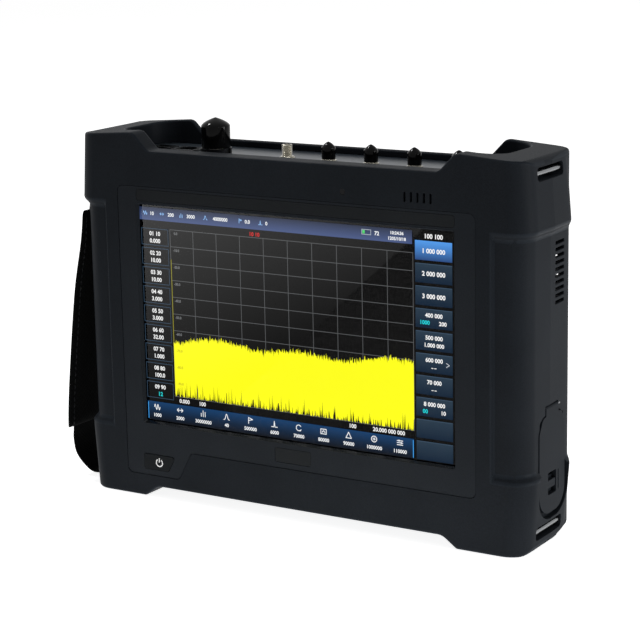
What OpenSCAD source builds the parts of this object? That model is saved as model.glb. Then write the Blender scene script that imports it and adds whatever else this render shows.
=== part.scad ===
// Handheld spectrum analyser: a two-shell rugged case with a touch display, a connector trough
// along the top edge, a battery door in the right side, a hand strap on the left side and a
// fold-out stand at the back, with the main units inside.
// Millimetres, +Z up, front face towards -Y, feet on Z = 0.

/* [Case] */
// Width across the corner bumpers
body_w = 314.6; // [300:0.1:330]
// Depth from the front face to the rear face
body_d = 68; // [64:1:76]
// Height of the ears above the feet
body_h = 231.7; // [226:0.1:240]
// Height of the dip between the ears
dip_z = 220.7; // [219:0.1:224]
// Half length of the dip's floor
dip_half = 100.4; // [92:0.1:104]
// Half distance between the ears' inner tops
ear_in = 111.2; // [108:0.1:116]
// Drop of the ears towards the sides
tip_fall = 3.2; // [2:0.1:6]
// Narrowing of the bumpers at top and bottom
tip_taper = 3; // [1:0.1:4]
// Height of the underside between the feet
belly_z = 6.9; // [4:0.1:9]
// Half distance between the feet's inner edges
foot_in = 111; // [108:0.5:114]
// Radius of the feet's outer edges
foot_r = 6; // [4:0.5:10]
// Height of the slanted cut at the lower rear corners
heel_h = 7; // [3:0.5:7]
// Radius of the front vertical corners
corner_r = 14; // [8:0.5:18]
// Radius of the rear vertical corners between the bumpers
rear_r = 10; // [5:0.5:14]
// Radius of the rear vertical corners of the bumpers
bumper_r = 13.5; // [8:0.5:16]
// Growth of that radius towards the tips
tip_r = 2; // [0:0.5:3]
// Narrowing of the front half towards the front
front_draft = 0.5; // [0.2:0.1:4]
// Narrowing of the rear half towards the back
rear_draft = 1.4; // [0.5:0.1:4]
// Thickness of the side and rear walls
wall = 3; // [2.5:0.1:3.4]
// Thickness of the front wall
front_wall = 5; // [4.6:0.1:6]

/* [Grips] */
// Depth of the grip recess in the sides
grip_side = 2.8; // [1.5:0.1:3.2]
// Depth of the grip recess in the front face
grip_front = 2; // [1:0.1:2.4]
// Half distance between the grips on the front face
grip_x = 134.2; // [130:0.1:136]
// Lower end of the grip recess
grip_lo = 47.5; // [44:0.5:60]
// Upper end of the grip recess
grip_hi = 184; // [176:0.5:190]
// Height of the sloped ends of the grip recess
grip_slope = 3.5; // [2:0.5:5]

/* [Display] */
// Height of the display's centre
disp_z = 118; // [116:0.5:120]
// Width of the lit area, 10.1 inch 16:10
lit_w = 217; // [210:1:220]
// Height of the lit area
lit_h = 135.6; // [132:0.1:138]
// Black margin around the lit area, inside the bezel
lit_margin = 0.9; // [0.4:0.1:1.5]
// Width of the sloped bezel
bezel = 1.3; // [0.8:0.1:2]
// Half width of the front panel
panel_x = 123.9; // [122:0.1:126]
// Top edge of the front panel
panel_hi = 198.3; // [194:0.1:200]
// Bottom edge of the front panel
panel_lo = 32.5; // [31:0.1:36]
// Bottom edge of the panel's tongue under the power key
tongue_lo = 14.2; // [13:0.1:15]
// Right end of the tongue along the panel's bottom edge
tongue_x = -75; // [-80:1:-60]
// Panel thickness
panel_t = 2.5; // [2.2:0.1:3]
// Depth of the panel's face below the front face
panel_sink = 0.3; // [0.1:0.05:0.5]
// Touch glass thickness
glass_t = 1.1; // [1.1:0.1:2]
// Display module thickness
lcd_t = 5; // [4:0.1:6]
// Width of the inlaid strip above the display
strip_w = 221; // [200:1:226]
// Height of the inlaid strip
strip_h = 7.4; // [5:0.1:8]
// Width of the small inlaid plate below the display
badge_w = 25.6; // [20:0.1:30]
// Height of the small inlaid plate
badge_h = 9.2; // [7:0.1:10]

/* [Power key] */
// Left edge of the key
key_x = -111; // [-114:0.5:-108]
// Lower edge of the key
key_z = 18; // [17.5:0.1:19]
// Length of the key's upper edge
key_top = 23.6; // [20:0.1:25]
// Length of the key's lower edge
key_low = 18.4; // [16:0.1:20]
// Height of the key
key_h = 9.9; // [9:0.1:10.4]

/* [Connectors] */
// Height of the connector plate's upper face
floor_z = 216.3; // [214:0.1:217]
// Thickness of the connector plate
plate_t = 2; // [1.5:0.1:3]
// Thickness of the front wall of the trough
trough_front = 12.6; // [11:0.1:15]
// Thickness of the rear wall of the trough
trough_rear = 4; // [3.6:0.1:6]
// Half length of the trough
trough_x = 133; // [131:0.5:136]
// Corner radius of the trough
trough_r = 16; // [6:0.5:20]
// Distance of the connectors behind the case's middle plane
conn_y = 3; // [0:0.5:6]
// Left-right place of the large coaxial connector
n_x = -74.3; // [-78:0.1:-70]
// Left-right place of the first small coaxial connector
sma_x = -22.5; // [-30:0.1:-20]
// Pitch of the small coaxial connectors
sma_pitch = 29.3; // [26:0.1:30]
// Thread radius of the large connector
n_r = 7.9; // [7.5:0.05:8.2]
// Thread radius of the small connectors
sma_r = 3.175; // [3.1:0.025:3.3]
// Height of the small connectors above the plate
sma_h = 8.1; // [7:0.1:10]
// Wall of the push-on caps
cap_wall = 1; // [0.7:0.05:1.3]

/* [Battery] */
// Distance of the battery door behind the case's middle plane
door_y = 3.2; // [1:0.1:5]
// Width of the door
door_w = 34; // [32:0.5:37]
// Width of the door's hinge neck
neck_w = 16.6; // [14:0.1:20]
// Lower end of the door
door_lo = 19.4; // [18:0.1:22]
// Height of the door's hinge axis
door_pivot_z = 82.2; // [80:0.1:90]
// Thickness of the door
door_t = 3; // [2.6:0.1:3.2]
// Battery height
batt_h = 54; // [48:0.5:55]
// Battery thickness
batt_d = 30; // [26:0.5:31]
// Battery length
batt_l = 138; // [120:1:139]

/* [Strap] */
// Length of the strap slots
slot_l = 34; // [32:0.5:38]
// Height of the strap slots
slot_h = 7.7; // [7:0.1:8]
// Drop of the upper slots' centre line below the ears' tops
slot_drop = 11.8; // [10.7:0.1:12.7]
// Height of the lower slots' centre line
slot_lo = 10.8; // [10.5:0.1:12]
// Radius of the bars in the slots
bar_r = 1.8; // [1.4:0.1:1.9]
// Width of the webbing
web_w = 30; // [25:1:31]
// Thickness of the webbing
web_t = 1.4; // [1:0.1:1.6]
// Width of the hand pad
pad_w = 52; // [44:1:56]
// Thickness of the hand pad at its middle
pad_t = 6; // [4:0.5:8]
// Largest distance of the webbing from the bumper
strap_bow = 23.5; // [18:0.1:32]

/* [Stand] */
// Width of the fold-out stand
stand_w = 120; // [100:1:130]
// Length of the fold-out stand
stand_l = 74; // [60:1:80]
// Thickness of the fold-out stand
stand_t = 4.5; // [4:0.1:5]
// Height of the stand's hinge axis
stand_z = 110; // [106:0.5:114]

/* [Fits] */
// Gap around inlaid panels
inlay_gap = 0.2; // [0.1:0.05:0.4]
// Gap around moving covers
cover_gap = 0.5; // [0.4:0.05:0.7]
// Radial clearance of turning and sliding fits
run_fit = 0.05; // [0.02:0.01:0.08]
// Radial clearance of seated pins and screws
seat_fit = 0.02; // [0.01:0.01:0.04]

/* [Hidden] */
$fn = 48;
hw = body_w / 2;
yf = -body_d / 2;
yr = body_d / 2;
eps = 0.01;
arc_steps = 8;
// the strap bows out to the left, so the whole part is shifted to keep its box centred
strap_out = strap_bow + web_t / 2;
frame_x = strap_out / 2;

// display stack, measured back from the front face
panel_y0 = yf + panel_sink;
panel_y1 = panel_y0 + panel_t;
glass_w = lit_w + 9;
glass_h = lit_h + 9.4;
glass_y1 = panel_y1 + glass_t;
lcd_y1 = glass_y1 + lcd_t;
chassis_t = 2;
chassis_y1 = lcd_y1 + chassis_t;
room_y0 = yf + front_wall;
view_w = lit_w + 2 * lit_margin;
view_h = lit_h + 2 * lit_margin;

// speaker slots and light sensor above the panel
top_row_rise = 87;
top_row_z = disp_z + top_row_rise;
speaker_x = 87.4;
speaker_n = 5;
speaker_pitch = 4.2;
speaker_slot = [1.3, 5.8];
speaker_size = [34, 11.6];
speaker_mouth = [28, 8];
speaker_magnet = [22, 9];
speaker_t = 4;
sensor_x = 38;
sensor_r = 1.65;

// power key's stem
key_stem = [key_x + 11, key_z + 5];
stem_r = 1.45;
stem_reach = 2.4;
key_flange = 0.5;
key_travel = panel_t / 2 - key_flange - 0.05;

// inlays in the panel
strip_x = 0.5;
strip_z = disp_z + 75;
badge_z = disp_z - 77.5;
inlay_t = 0.8;
inlay_sink = 0.1;

// trough and rooms
slot_hi = body_h - slot_drop;
trough_y0 = yf + trough_front;
trough_y1 = yr - trough_rear;
trough_d = trough_y1 - trough_y0;
trough_my = (trough_y0 + trough_y1) / 2;
plate_lap = 1.8;
plate_z0 = floor_z - plate_t;
ledge = 1.5;
room_hi = slot_hi - slot_h / 2 - 10;
room_lo = slot_lo + slot_h / 2 + 3.4;
room_mid_hi = plate_z0 - 3.3;
room_mid_lo = belly_z + 3.6;
room_mid_x = trough_x - 5;

// case screws: head seats a little behind the parting plane
screw_r = 1.5;
head_r = 2.8;
boss_r = 4.2;
screw_seat = 8;
screw_grip = 14;
boss_at = [[-143, room_hi - 7], [143, room_hi - 7], [-144, 105], [144, 105], [-122, 8], [122, 8]];
post_at = [for (s = [-1, 1], z = [-72, 0, 72]) [s * 120.5, disp_z + z]];
post_r = 3.2;

// battery door
door_x = hw - grip_side + 0.2;
pivot_x = door_x - door_t / 2;
pivot_r = 0.8;
pivot_len = neck_w + 7;
door_sink = door_x - door_t - 0.3;
frame_x0 = door_sink - 5.4;
batt_z = door_lo + 29.6;
batt_x1 = door_sink - 4.6;
bay_w = batt_d + 2;
bay_h = batt_h + 2;
tray_t = 1.5;
tray_slack = 1;
tray_end = 3;
// the door narrows to its neck over two steps
neck_step = 4.6;
neck_drop = 13;
neck_in = 4.5;
latch_w = 10;
latch_h = 4.7;
latch_z = 36.4;
latch_travel = 3.4;
latch_back = door_sink - 1.6;
latch_half = 6.4;
tongue_t = 1.3;
rail_in = 6.5;
rail_out = 8;
rail_lip = 5.6;
window_h = 13.4;
window_z = 37;
groove_y = 8.2;
groove = [0.9, 12];

// strap
bar_x = hw - 5.8;
loop_r = bar_r + run_fit + web_t;
// the webbing's ends run a little into its loops
loop_bite = 0.2;
loop_mid = bar_r + run_fit + web_t / 2 - loop_bite;
slot_y = -1;
slot_depth = 14;

// stand
stand_pin_r = 2;
stand_pad = stand_t + 4.2;
stand_sink = 0.6;
stand_room = 0.4;
stand_y = yr - stand_sink - stand_t / 2;
notch_r = 11;

// blower
blow_x1 = hw - grip_side - wall - 4.4;
blow_s = 50;
blow_y0 = 5.2;
blow_t = 15;
blow_drop = 46.55;
blow_z = room_hi - blow_drop;
blow_x = blow_x1 - blow_s / 2;
blow_post = 20;
fan_r = 19;
fan_hub = 9;
fan_blades = 15;
fan_blade_t = 1;
fan_lift = 2;
blow_skin = 1.4;
spindle_r = 1.5;
vent_n = 10;
vent_pitch = 3.85;
vent_slot = [12.8, 2];
vent_y = 13.4;
vent_z = blow_z + 0.5;
inlet_n = 9;
inlet_pitch = 5;
inlet_slot = 2.4;
inlet_r = 21;

// sheet chassis and main board
chassis_w = 252;
chassis_h = 156;
chassis_window = [60, 14];
window_x = 50;
board_x = -122;
board_z = 46;
board_w = 114;
board_h = 78;
board_t = 1.6;
board_lift = 4;
board_y0 = chassis_y1 + board_lift;
board_at = [for (x = [14, board_w - 6], z = [6, board_h - 6]) [board_x + x, board_z + z]];

// radio module with its cover sheets and heat sink
rf_y0 = -10;
rf_y1 = 14;
rf_x = -112;
rf_w = 200;
rf_z0 = disp_z + 16;
rf_z1 = floor_z - 10.3;
rf_leg = 8;
rf_sheet = 0.8;
sink_x = 10;
sink_w = 140;
sink_h = 54;
sink_t = 2;
fin_n = 10;
fin_t = 1.8;
fin_h = 9;

// coaxial connectors and their caps
sma_at = [for (i = [0 : 4]) sma_x + i * sma_pitch];
nut_h = 1;
washer_t = 0.4;
washer_r = 5;
sma_nut_r = 4.6;
sma_root = sma_r - 0.385;
sma_stem = 2.6;
sma_bore = 2.3;
sma_bore_h = 3.4;
sma_pin = 0.65;
n_nut_h = 3.2;
n_nut_r = 9.6;
n_h = 12.4;
n_stem = 6;
n_flange = 10;
n_bore = 6.2;
n_bore_h = 10;
n_sleeve = 4;
n_pin = 1.5;
n_recess = 4;
cap_lift = 0.12;
cap_room = 0.3;
n_cap_h = 18.1;
n_dome = 4.5;
n_nub = 1.6;
sma_cap_h = 10.2;
sma_dome = 3;
sma_nub = 0.9;
nub_sink = 0.4;
nub_flat = 0.6;
dome_steps = 8;

// data sockets
usb_at = [-115.5, 3.6];
usb_size = [14.6, 15.4];
usb_mouth = [13, 6];
usb_tongue = [11.4, 1.9];
usb_deck = 3.9;
lan_at = [-96.2, 3.6];
lan_size = [17, 15];
lan_mouth = [12, 8];
lan_notch = [6, 3];
socket_proud = 1.3;
socket_deep = 8;
socket_lip = 1.5;

function unit(v) = v / norm(v);
function turn(v, d) = [v[0] * cos(d) - v[1] * sin(d), v[0] * sin(d) + v[1] * cos(d)];
// points of the arc that rounds corner q, between p and s
function corner(p, q, s, r) = r <= 0 ? [q] :
    let (a = unit(p - q), b = unit(s - q), f = acos(a * b), t = r / tan(f / 2),
        c = q + unit(a + b) * (r / sin(f / 2)), u = q + a * t - c, k = sign(cross(u, q + b * t - c)))
    [for (i = [0 : arc_steps]) c + turn(u, k * (180 - f) * i / arc_steps)];
// closed outline from corners given as [x, y, radius]
function rounded(v) = [for (i = [0 : len(v) - 1])
    let (n = len(v), p = v[(i + n - 1) % n], q = v[i], s = v[(i + 1) % n])
    each corner([p[0], p[1]], [q[0], q[1]], [s[0], s[1]], q[2])];
// the same corners, followed by their mirror image in the opposite order
function both_sides(v) = concat(v, [for (i = [len(v) - 1 : -1 : 0]) [-v[i][0], v[i][1], v[i][2]]]);

// case seen from above: widest at the parting plane
function plan(half, front, rear, rf, rr) = rounded(both_sides(
    [[half - front_draft, front, rf], [half, 0, 0], [half - rear_draft, rear, rr]]));
bumper_plan = plan(hw, yf, yr, corner_r, bumper_r);
tip_plan = plan(hw - tip_taper, yf, yr, corner_r, bumper_r + tip_r);
waist_plan = plan(hw - grip_side, yf + grip_front, yr, corner_r, rear_r);
room_plan = plan(hw - grip_side - wall, room_y0, yr - wall, corner_r - wall, rear_r - wall);
// case seen from the front: ears, dip and feet, clear of the bumpers' sides
silhouette = rounded(both_sides([[dip_half, dip_z, 6], [ear_in, body_h, 6],
    [hw - tip_taper + 0.3, body_h - tip_fall, 5], [hw + 2, grip_hi, 0], [hw + 2, grip_lo, 0],
    [hw - tip_taper + 0.3, 0, foot_r], [foot_in, 0, 3], [foot_in - 9.5, belly_z, 9]]));
// front panel with its tongue, grown by g
function panel_path(g) = rounded([[-panel_x - g, panel_hi + g, 4], [panel_x + g, panel_hi + g, 4],
    [panel_x + g, panel_lo - g, 4], [tongue_x + g, panel_lo - g, 3], [tongue_x - 9.5 + g, tongue_lo - g, 4],
    [-panel_x - g, tongue_lo - g, 4]]);
// power key, grown by g
key_r = 1.5;
function key_path(g) = rounded([[key_x - g, key_z + key_h + g, key_r],
    [key_x + key_top + 1.6 * g, key_z + key_h + g, key_r],
    [key_x + key_low + 1.2 * g, key_z - g, key_r], [key_x - g, key_z - g, key_r]]);
// battery door across and up, grown by g, with the neck reaching up to z
function door_path(g, z) = rounded(both_sides([[neck_w / 2 + g, z, 0],
    [neck_w / 2 + g, door_pivot_z - neck_step + 0.6 + g, 0.6],
    [door_w / 2 - neck_in + 0.7 * g, door_pivot_z - neck_step + g, 4],
    [door_w / 2 + g, door_pivot_z - neck_drop, 7], [door_w / 2 + g, door_lo - g, 13 + g]]));

// strap path on the left side as [distance out from the bumpers, height]
strap_knots = [[bar_x - hw, slot_hi - loop_mid], [-2.6, slot_hi - loop_mid], [-0.6, slot_hi - loop_mid - 1.6],
    [0, slot_hi - 14], [0.9, slot_hi - 30], [2.4, slot_hi - 41.3], [0.23 * strap_bow, slot_hi - 61],
    [0.56 * strap_bow, slot_lo + 112], [0.88 * strap_bow, slot_lo + 52], [0.98 * strap_bow, slot_lo + 22],
    [strap_bow, slot_lo + 11.7], [0.89 * strap_bow, slot_lo + 2.2], [0.5 * strap_bow, slot_lo - 6.2],
    [0.19 * strap_bow, slot_lo - 7.2], [0.02 * strap_bow, slot_lo - 4.4], [-2.4, slot_lo - loop_mid],
    [bar_x - hw, slot_lo - loop_mid]];
function spline(a, b, c, d, t) = 0.5 * (2 * b + (c - a) * t + (2 * a - 5 * b + 4 * c - d) * t * t
    + (3 * b - a - 3 * c + d) * t * t * t);
function knot(i) = strap_knots[max(0, min(len(strap_knots) - 1, i))];
strap_steps = 4;
function strap_at(s) = let (i = min(floor(s), len(strap_knots) - 2))
    spline(knot(i - 1), knot(i), knot(i + 1), knot(i + 2), s - i);
function strap_out_of(s) = let (d = unit(strap_at(s + 0.02) - strap_at(s - 0.02))) [-d[1], d[0]];
function strap_side(s0, s1, off) = [for (i = [0 : (s1 - s0) * strap_steps])
    let (s = s0 + i / strap_steps, p = strap_at(s) + strap_out_of(s) * off) [-hw - p[0], p[1]]];
function backwards(v) = [for (i = [len(v) - 1 : -1 : 0]) v[i]];
pad_from = 5;
pad_to = 9;
// the pad lies inside the webbing, thin at its upper end
function pad_full(s) = pad_t * min(1, 0.35 + 0.3 * (s - pad_from));
function pad_inner() = [for (i = [0 : (pad_to - pad_from) * strap_steps])
    let (s = pad_from + i / strap_steps, p = strap_at(s) - strap_out_of(s) * (web_t / 2 + pad_full(s)))
    [-hw - p[0], p[1]]];

module place() translate([frame_x, 0, 0]) children();
module along_y(y0, y1) translate([0, y1, 0]) rotate([90, 0, 0]) linear_extrude(y1 - y0) children();
module along_x(x0, x1) translate([x0, 0, 0]) rotate([90, 0, 90]) linear_extrude(x1 - x0) children();
module along_z(z0, z1) translate([0, 0, z0]) linear_extrude(z1 - z0) children();
module rod_y(r, y0, y1) translate([0, y1, 0]) rotate([90, 0, 0]) cylinder(r = r, h = y1 - y0);
module rod_x(r, x0, x1) translate([x0, 0, 0]) rotate([0, 90, 0]) cylinder(r = r, h = x1 - x0);
module box(a, b) translate(a) cube(b - a);
module both() { children(); mirror([1, 0, 0]) children(); }
module rrect(w, h, r) {
    square([w - 2 * r, h], center = true);
    square([w, h - 2 * r], center = true);
    for (x = [-1, 1], y = [-1, 1]) translate([x * (w / 2 - r), y * (h / 2 - r)]) circle(r);
}

// straight-sided form between two outlines with equally many points
module loft(z0, low, z1, high) {
    n = len(low);
    polyhedron(concat([for (p = low) [p[0], p[1], z0]], [for (p = high) [p[0], p[1], z1]]),
        concat([[for (i = [0 : n - 1]) i]], [[for (i = [n - 1 : -1 : 0]) n + i]],
            [for (i = [0 : n - 1]) [i, n + i, n + (i + 1) % n, (i + 1) % n]]));
}

// outer form of the closed case
module case_form() intersection() {
    along_y(yf - 1, yr + 1) polygon(silhouette);
    union() {
        along_z(0, body_h) polygon(waist_plan);
        loft(0, tip_plan, grip_lo - grip_slope, bumper_plan);
        loft(grip_lo - grip_slope, bumper_plan, grip_lo, waist_plan);
        loft(grip_hi, waist_plan, grip_hi + grip_slope, bumper_plan);
        loft(grip_hi + grip_slope, bumper_plan, body_h, tip_plan);
        box([-grip_x, yf, 0], [grip_x, yf + 8, body_h]);
    }
}

// corner wedge that lifts the lower rear corners, one millimetre larger than the part it takes off
module heel_cuts() both() {
    size = [32, yr, heel_h];
    k = 1 + 1 / size[0] + 1 / size[1] + 1 / size[2];
    translate([hw - tip_taper + 1.3, yr + 1, -1]) polyhedron(
        [[0, 0, 0], [-k * size[0], 0, 0], [0, -k * size[1], 0], [0, 0, k * size[2]]],
        [[1, 3, 2], [0, 1, 2], [0, 3, 1], [0, 2, 3]]);
}

// hollow inside, left solid around the door frame, the bosses and the posts
module rooms() difference() {
    union() {
        along_z(room_lo, room_hi) polygon(room_plan);
        box([-room_mid_x, room_y0, room_mid_lo], [room_mid_x, yr - wall, room_lo + eps]);
        box([-room_mid_x, room_y0, room_hi - eps], [room_mid_x, trough_y1 - ledge, room_mid_hi]);
        translate([0, trough_my]) along_z(room_hi - eps, plate_z0 + eps)
            rrect(2 * (trough_x - ledge), trough_d - 2 * ledge, trough_r - ledge);
    }
    box([frame_x0, door_y - door_w / 2 - 4, 0], [hw, door_y + door_w / 2 + 4, door_pivot_z + 6]);
    for (p = boss_at) translate([p[0], 0, p[1]]) rod_y(boss_r, yf, yr);
    for (p = post_at) translate([p[0], 0, p[1]]) rod_y(post_r, yf, lcd_y1);
    translate([0, 0, stand_z - stand_l / 2]) box([-stand_w / 2 - 7, yr - stand_pad, -stand_l / 2 - 6],
        [stand_w / 2 + 7, yr, stand_l / 2 + 9]);
    for (x = [-1, 1], z = [-1, 1]) translate([blow_x + x * blow_post, 0, blow_z + z * blow_post])
        rod_y(3, blow_y0 + blow_t, yr);
}

module trough_cut() translate([0, trough_my]) {
    along_z(floor_z - eps, body_h + 20) rrect(2 * trough_x, trough_d, trough_r);
    along_z(plate_z0, floor_z)
        rrect(2 * (trough_x + plate_lap), trough_d + 2 * plate_lap, trough_r + plate_lap);
}

// strap slots with the seats of their bars
module strap_cuts() both() for (z = [slot_lo, slot_hi]) translate([0, slot_y, z]) {
    along_x(hw - slot_depth, hw + 2) rrect(slot_l, slot_h, 2.5);
    translate([bar_x, 0, 0]) rod_y(bar_r + seat_fit, -slot_l / 2 - 3, slot_l / 2 + 3);
}

// seat of the battery door, its hinge, the battery's way in and the latch keeper
module door_cuts() translate([0, door_y, 0]) {
    along_x(door_sink, hw + 2) polygon(door_path(cover_gap, door_pivot_z + 2));
    along_x(door_sink, hw + 2) polygon(rounded(both_sides(
        [[door_w / 2 + 3, grip_lo - 3, 0], [door_w / 2 + 3, door_lo - 3, 16]])));
    translate([pivot_x, 0, door_pivot_z]) rod_y(pivot_r + seat_fit, -pivot_len / 2, pivot_len / 2);
    translate([pivot_x, 0, door_pivot_z])
        rod_y(door_t / 2 + cover_gap, -neck_w / 2 - cover_gap, neck_w / 2 + cover_gap);
    along_x(frame_x0 - 1, hw) translate([0, batt_z]) rrect(bay_w, bay_h, 3);
    box([door_sink - 3.4, -latch_w / 2 - 0.4, batt_z - bay_h / 2 - latch_travel - 0.6],
        [door_sink - 1, latch_w / 2 + 0.4, batt_z - bay_h / 2 + 1]);
}

module shell_cuts() {
    rooms();
    trough_cut();
    strap_cuts();
    door_cuts();
}

module front_shell() place() color("#3c3e41") difference() {
    intersection() {
        case_form();
        box([-hw - 5, yf - 5, -5], [hw + 5, 0, body_h + 5]);
    }
    shell_cuts();
    // inlaid front panel and the display behind it
    along_y(yf - 1, panel_y1) polygon(panel_path(inlay_gap));
    translate([0, 0, disp_z]) along_y(yf, room_y0 + 1)
        rrect(glass_w + 2 * inlay_gap, glass_h + 2 * inlay_gap, 2);
    // way of the power key's stem
    translate([key_stem[0], 0, key_stem[1]]) rod_y(stem_r + 0.75, yf, room_y0 + 1);
    // speaker slots and light sensor
    for (i = [0 : speaker_n - 1]) let (x = speaker_x + (i - (speaker_n - 1) / 2) * speaker_pitch)
        translate([x, 0, top_row_z]) along_y(yf - 1, room_y0 + 1)
            rrect(speaker_slot[0], speaker_slot[1], 0.6);
    translate([sensor_x, 0, top_row_z]) rod_y(sensor_r + seat_fit, yf - 1, room_y0 + 1);
    // screw holes
    for (p = boss_at) translate([p[0], 0, p[1]]) rod_y(screw_r + seat_fit, -screw_grip, 1);
    for (p = post_at) translate([p[0], 0, p[1]]) rod_y(screw_r + seat_fit, lcd_y1 - 6, lcd_y1 + 1);
}

module rear_shell() place() color("#3c3e41") difference() {
    intersection() {
        case_form();
        box([-hw - 5, 0, -5], [hw + 5, yr + 5, body_h + 5]);
    }
    shell_cuts();
    heel_cuts();
    // air outlet in the right side and air inlet in the back
    for (i = [0 : vent_n - 1]) translate([0, vent_y, vent_z + (i - (vent_n - 1) / 2) * vent_pitch])
        along_x(blow_x1 - 4, hw + 2) rrect(vent_slot[0], vent_slot[1], 0.9);
    for (i = [0 : inlet_n - 1]) let (z = (i - (inlet_n - 1) / 2) * inlet_pitch)
        translate([blow_x, 0, blow_z + z]) along_y(yr - wall - 1, yr + 1)
            rrect(2 * sqrt(inlet_r * inlet_r - z * z) + 4, inlet_slot, 1);
    // screw ways
    for (p = boss_at) translate([p[0], 0, p[1]]) {
        rod_y(screw_r + 0.2, -1, yr + 1);
        rod_y(head_r + 0.3, screw_seat, yr + 1);
    }
    // stand recess with a finger notch under the stand, and the seats of its pins
    translate([0, 0, stand_z]) {
        along_y(stand_y - stand_t / 2 - stand_room, yr + 1) translate([0, -stand_l / 2 + 1.2])
            rrect(stand_w + 2 * cover_gap, stand_l + 5.4, 3);
        translate([0, 0, -stand_l - 1]) along_y(stand_y - stand_t / 2 - stand_room, yr + 1) circle(notch_r);
        translate([0, stand_y, 0]) rod_x(stand_pin_r + seat_fit, -stand_w / 2 - 5, stand_w / 2 + 5);
    }
}

// front panel with the sloped bezel, the key opening and the seats of the strip and the badge plate
module display_panel() place() color("#4a4c4f") difference() {
    along_y(panel_y0, panel_y1) polygon(panel_path(0));
    translate([0, 0, disp_z]) hull() {
        along_y(panel_y0 - 0.1, panel_y0 + eps) rrect(view_w + 2 * bezel, view_h + 2 * bezel, 1.6);
        along_y(panel_y1, panel_y1 + 0.1) rrect(view_w, view_h, 0.8);
    }
    along_y(panel_y0 - 1, panel_y1 + 1) polygon(key_path(inlay_gap));
    along_y(panel_y0 + panel_t / 2, panel_y1 + 1) polygon(key_path(1.2));
    translate([strip_x, 0, strip_z]) along_y(panel_y0 - 1, panel_y0 + inlay_t) rrect(strip_w, strip_h, 2);
    translate([0, 0, badge_z]) along_y(panel_y0 - 1, panel_y0 + inlay_t) rrect(badge_w, badge_h, 1.5);
}

module trim_strip() place() color("#2e3033") translate([strip_x, 0, strip_z])
    along_y(panel_y0 + inlay_sink, panel_y0 + inlay_t) rrect(strip_w - inlay_gap, strip_h - inlay_gap, 1.9);

module badge_plate() place() color("#2e3033") translate([0, 0, badge_z])
    along_y(panel_y0 + inlay_sink, panel_y0 + inlay_t) rrect(badge_w - inlay_gap, badge_h - inlay_gap, 1.4);

module touch_glass() place() color("#20242a") translate([0, 0, disp_z])
    along_y(panel_y1, glass_y1) rrect(glass_w, glass_h, 1.8);

module lcd_module() place() color("#15171b") translate([0, 0, disp_z])
    along_y(glass_y1, lcd_y1) rrect(glass_w - 1, glass_h - 1, 1.2);

// key cap with a hidden flange and a stem that runs into the switch
module power_button() place() color("#26282b") {
    along_y(yf, panel_y0 + panel_t / 2) polygon(key_path(0));
    along_y(panel_y0 + panel_t / 2, panel_y0 + panel_t / 2 + key_flange) polygon(key_path(0.9));
    translate([key_stem[0], 0, key_stem[1]]) rod_y(stem_r, panel_y0 + panel_t / 2, room_y0 + stem_reach);
}

module power_switch() place() color("#202020") translate([key_stem[0], 0, key_stem[1]]) difference() {
    box([-6, room_y0, -4.6], [6, room_y0 + 4, 4.6]);
    rod_y(stem_r + run_fit, room_y0 - 1, room_y0 + stem_reach + key_travel + 0.2);
}

module light_sensor() place() color("#101215") translate([sensor_x, 0, top_row_z]) {
    rod_y(sensor_r, yf + 0.2, room_y0);
    rod_y(sensor_r + 0.95, room_y0, room_y0 + 1.2);
}

module speaker() place() color("#1b1b1b") translate([speaker_x, 0, top_row_z]) {
    difference() {
        along_y(room_y0, room_y0 + speaker_t) rrect(speaker_size[0], speaker_size[1], 4);
        along_y(room_y0 - 1, room_y0 + 1.5) rrect(speaker_mouth[0], speaker_mouth[1], 3);
    }
    along_y(room_y0 + speaker_t, room_y0 + speaker_t + 2) rrect(speaker_magnet[0], speaker_magnet[1], 3);
}

// sheet chassis behind the display, with stand-offs for the main board
module chassis_plate() place() color("#a9adb2") {
    difference() {
        translate([0, 0, disp_z]) along_y(lcd_y1, chassis_y1) rrect(chassis_w, chassis_h, 6);
        for (p = post_at) translate([p[0], 0, p[1]]) rod_y(screw_r + 0.2, lcd_y1 - 1, chassis_y1 + 1);
        for (i = [-1, 1]) translate([i * window_x, 0, disp_z + 10]) along_y(lcd_y1 - 1, chassis_y1 + 1)
            rrect(chassis_window[0], chassis_window[1], 5);
    }
    for (p = board_at) translate([p[0], 0, p[1]]) rod_y(3, chassis_y1, board_y0);
}

module pan_screw(y0, grip) {
    rod_y(screw_r, y0 - grip, y0);
    difference() {
        rod_y(head_r, y0, y0 + 2);
        for (a = [0, 90]) rotate([0, a, 0]) box([-0.45, y0 + 0.9, -1.7], [0.45, y0 + 3, 1.7]);
    }
}

module chassis_screws() place() color("#c8c8c8") for (p = post_at) translate([p[0], 0, p[1]])
    pan_screw(chassis_y1, chassis_t + 5);

// main board with a processor, three memories and a plug strip
module main_board() place() color("#1f5a3a") translate([board_x, board_y0, board_z]) {
    cube([board_w, board_t, board_h]);
    translate([36, board_t, 30]) cube([28, 3, 28]);
    for (i = [0 : 2]) translate([74, board_t, 16 + 20 * i]) cube([18, 1.2, 12]);
    translate([4, board_t, 24]) cube([10, 6, 30]);
}

// shielded radio module under the connectors, on four legs
module rf_module() place() color("#b8bcc0") {
    box([rf_x, rf_y0, rf_z0], [rf_x + rf_w, rf_y1, rf_z1]);
    for (x = [rf_leg, rf_w - rf_leg], z = [rf_z0 + rf_leg - 2, rf_z1 - rf_leg - 10])
        translate([rf_x + x, 0, z]) rod_y(rf_leg / 2, chassis_y1, rf_y0);
    for (x = [-1, 1]) translate([rf_x + rf_w / 2 + x * rf_w * 0.26, rf_y1, rf_z0])
        box([-rf_w * 0.22, 0, 4], [rf_w * 0.22, rf_sheet, rf_z1 - rf_z0 - 4]);
}

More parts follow.
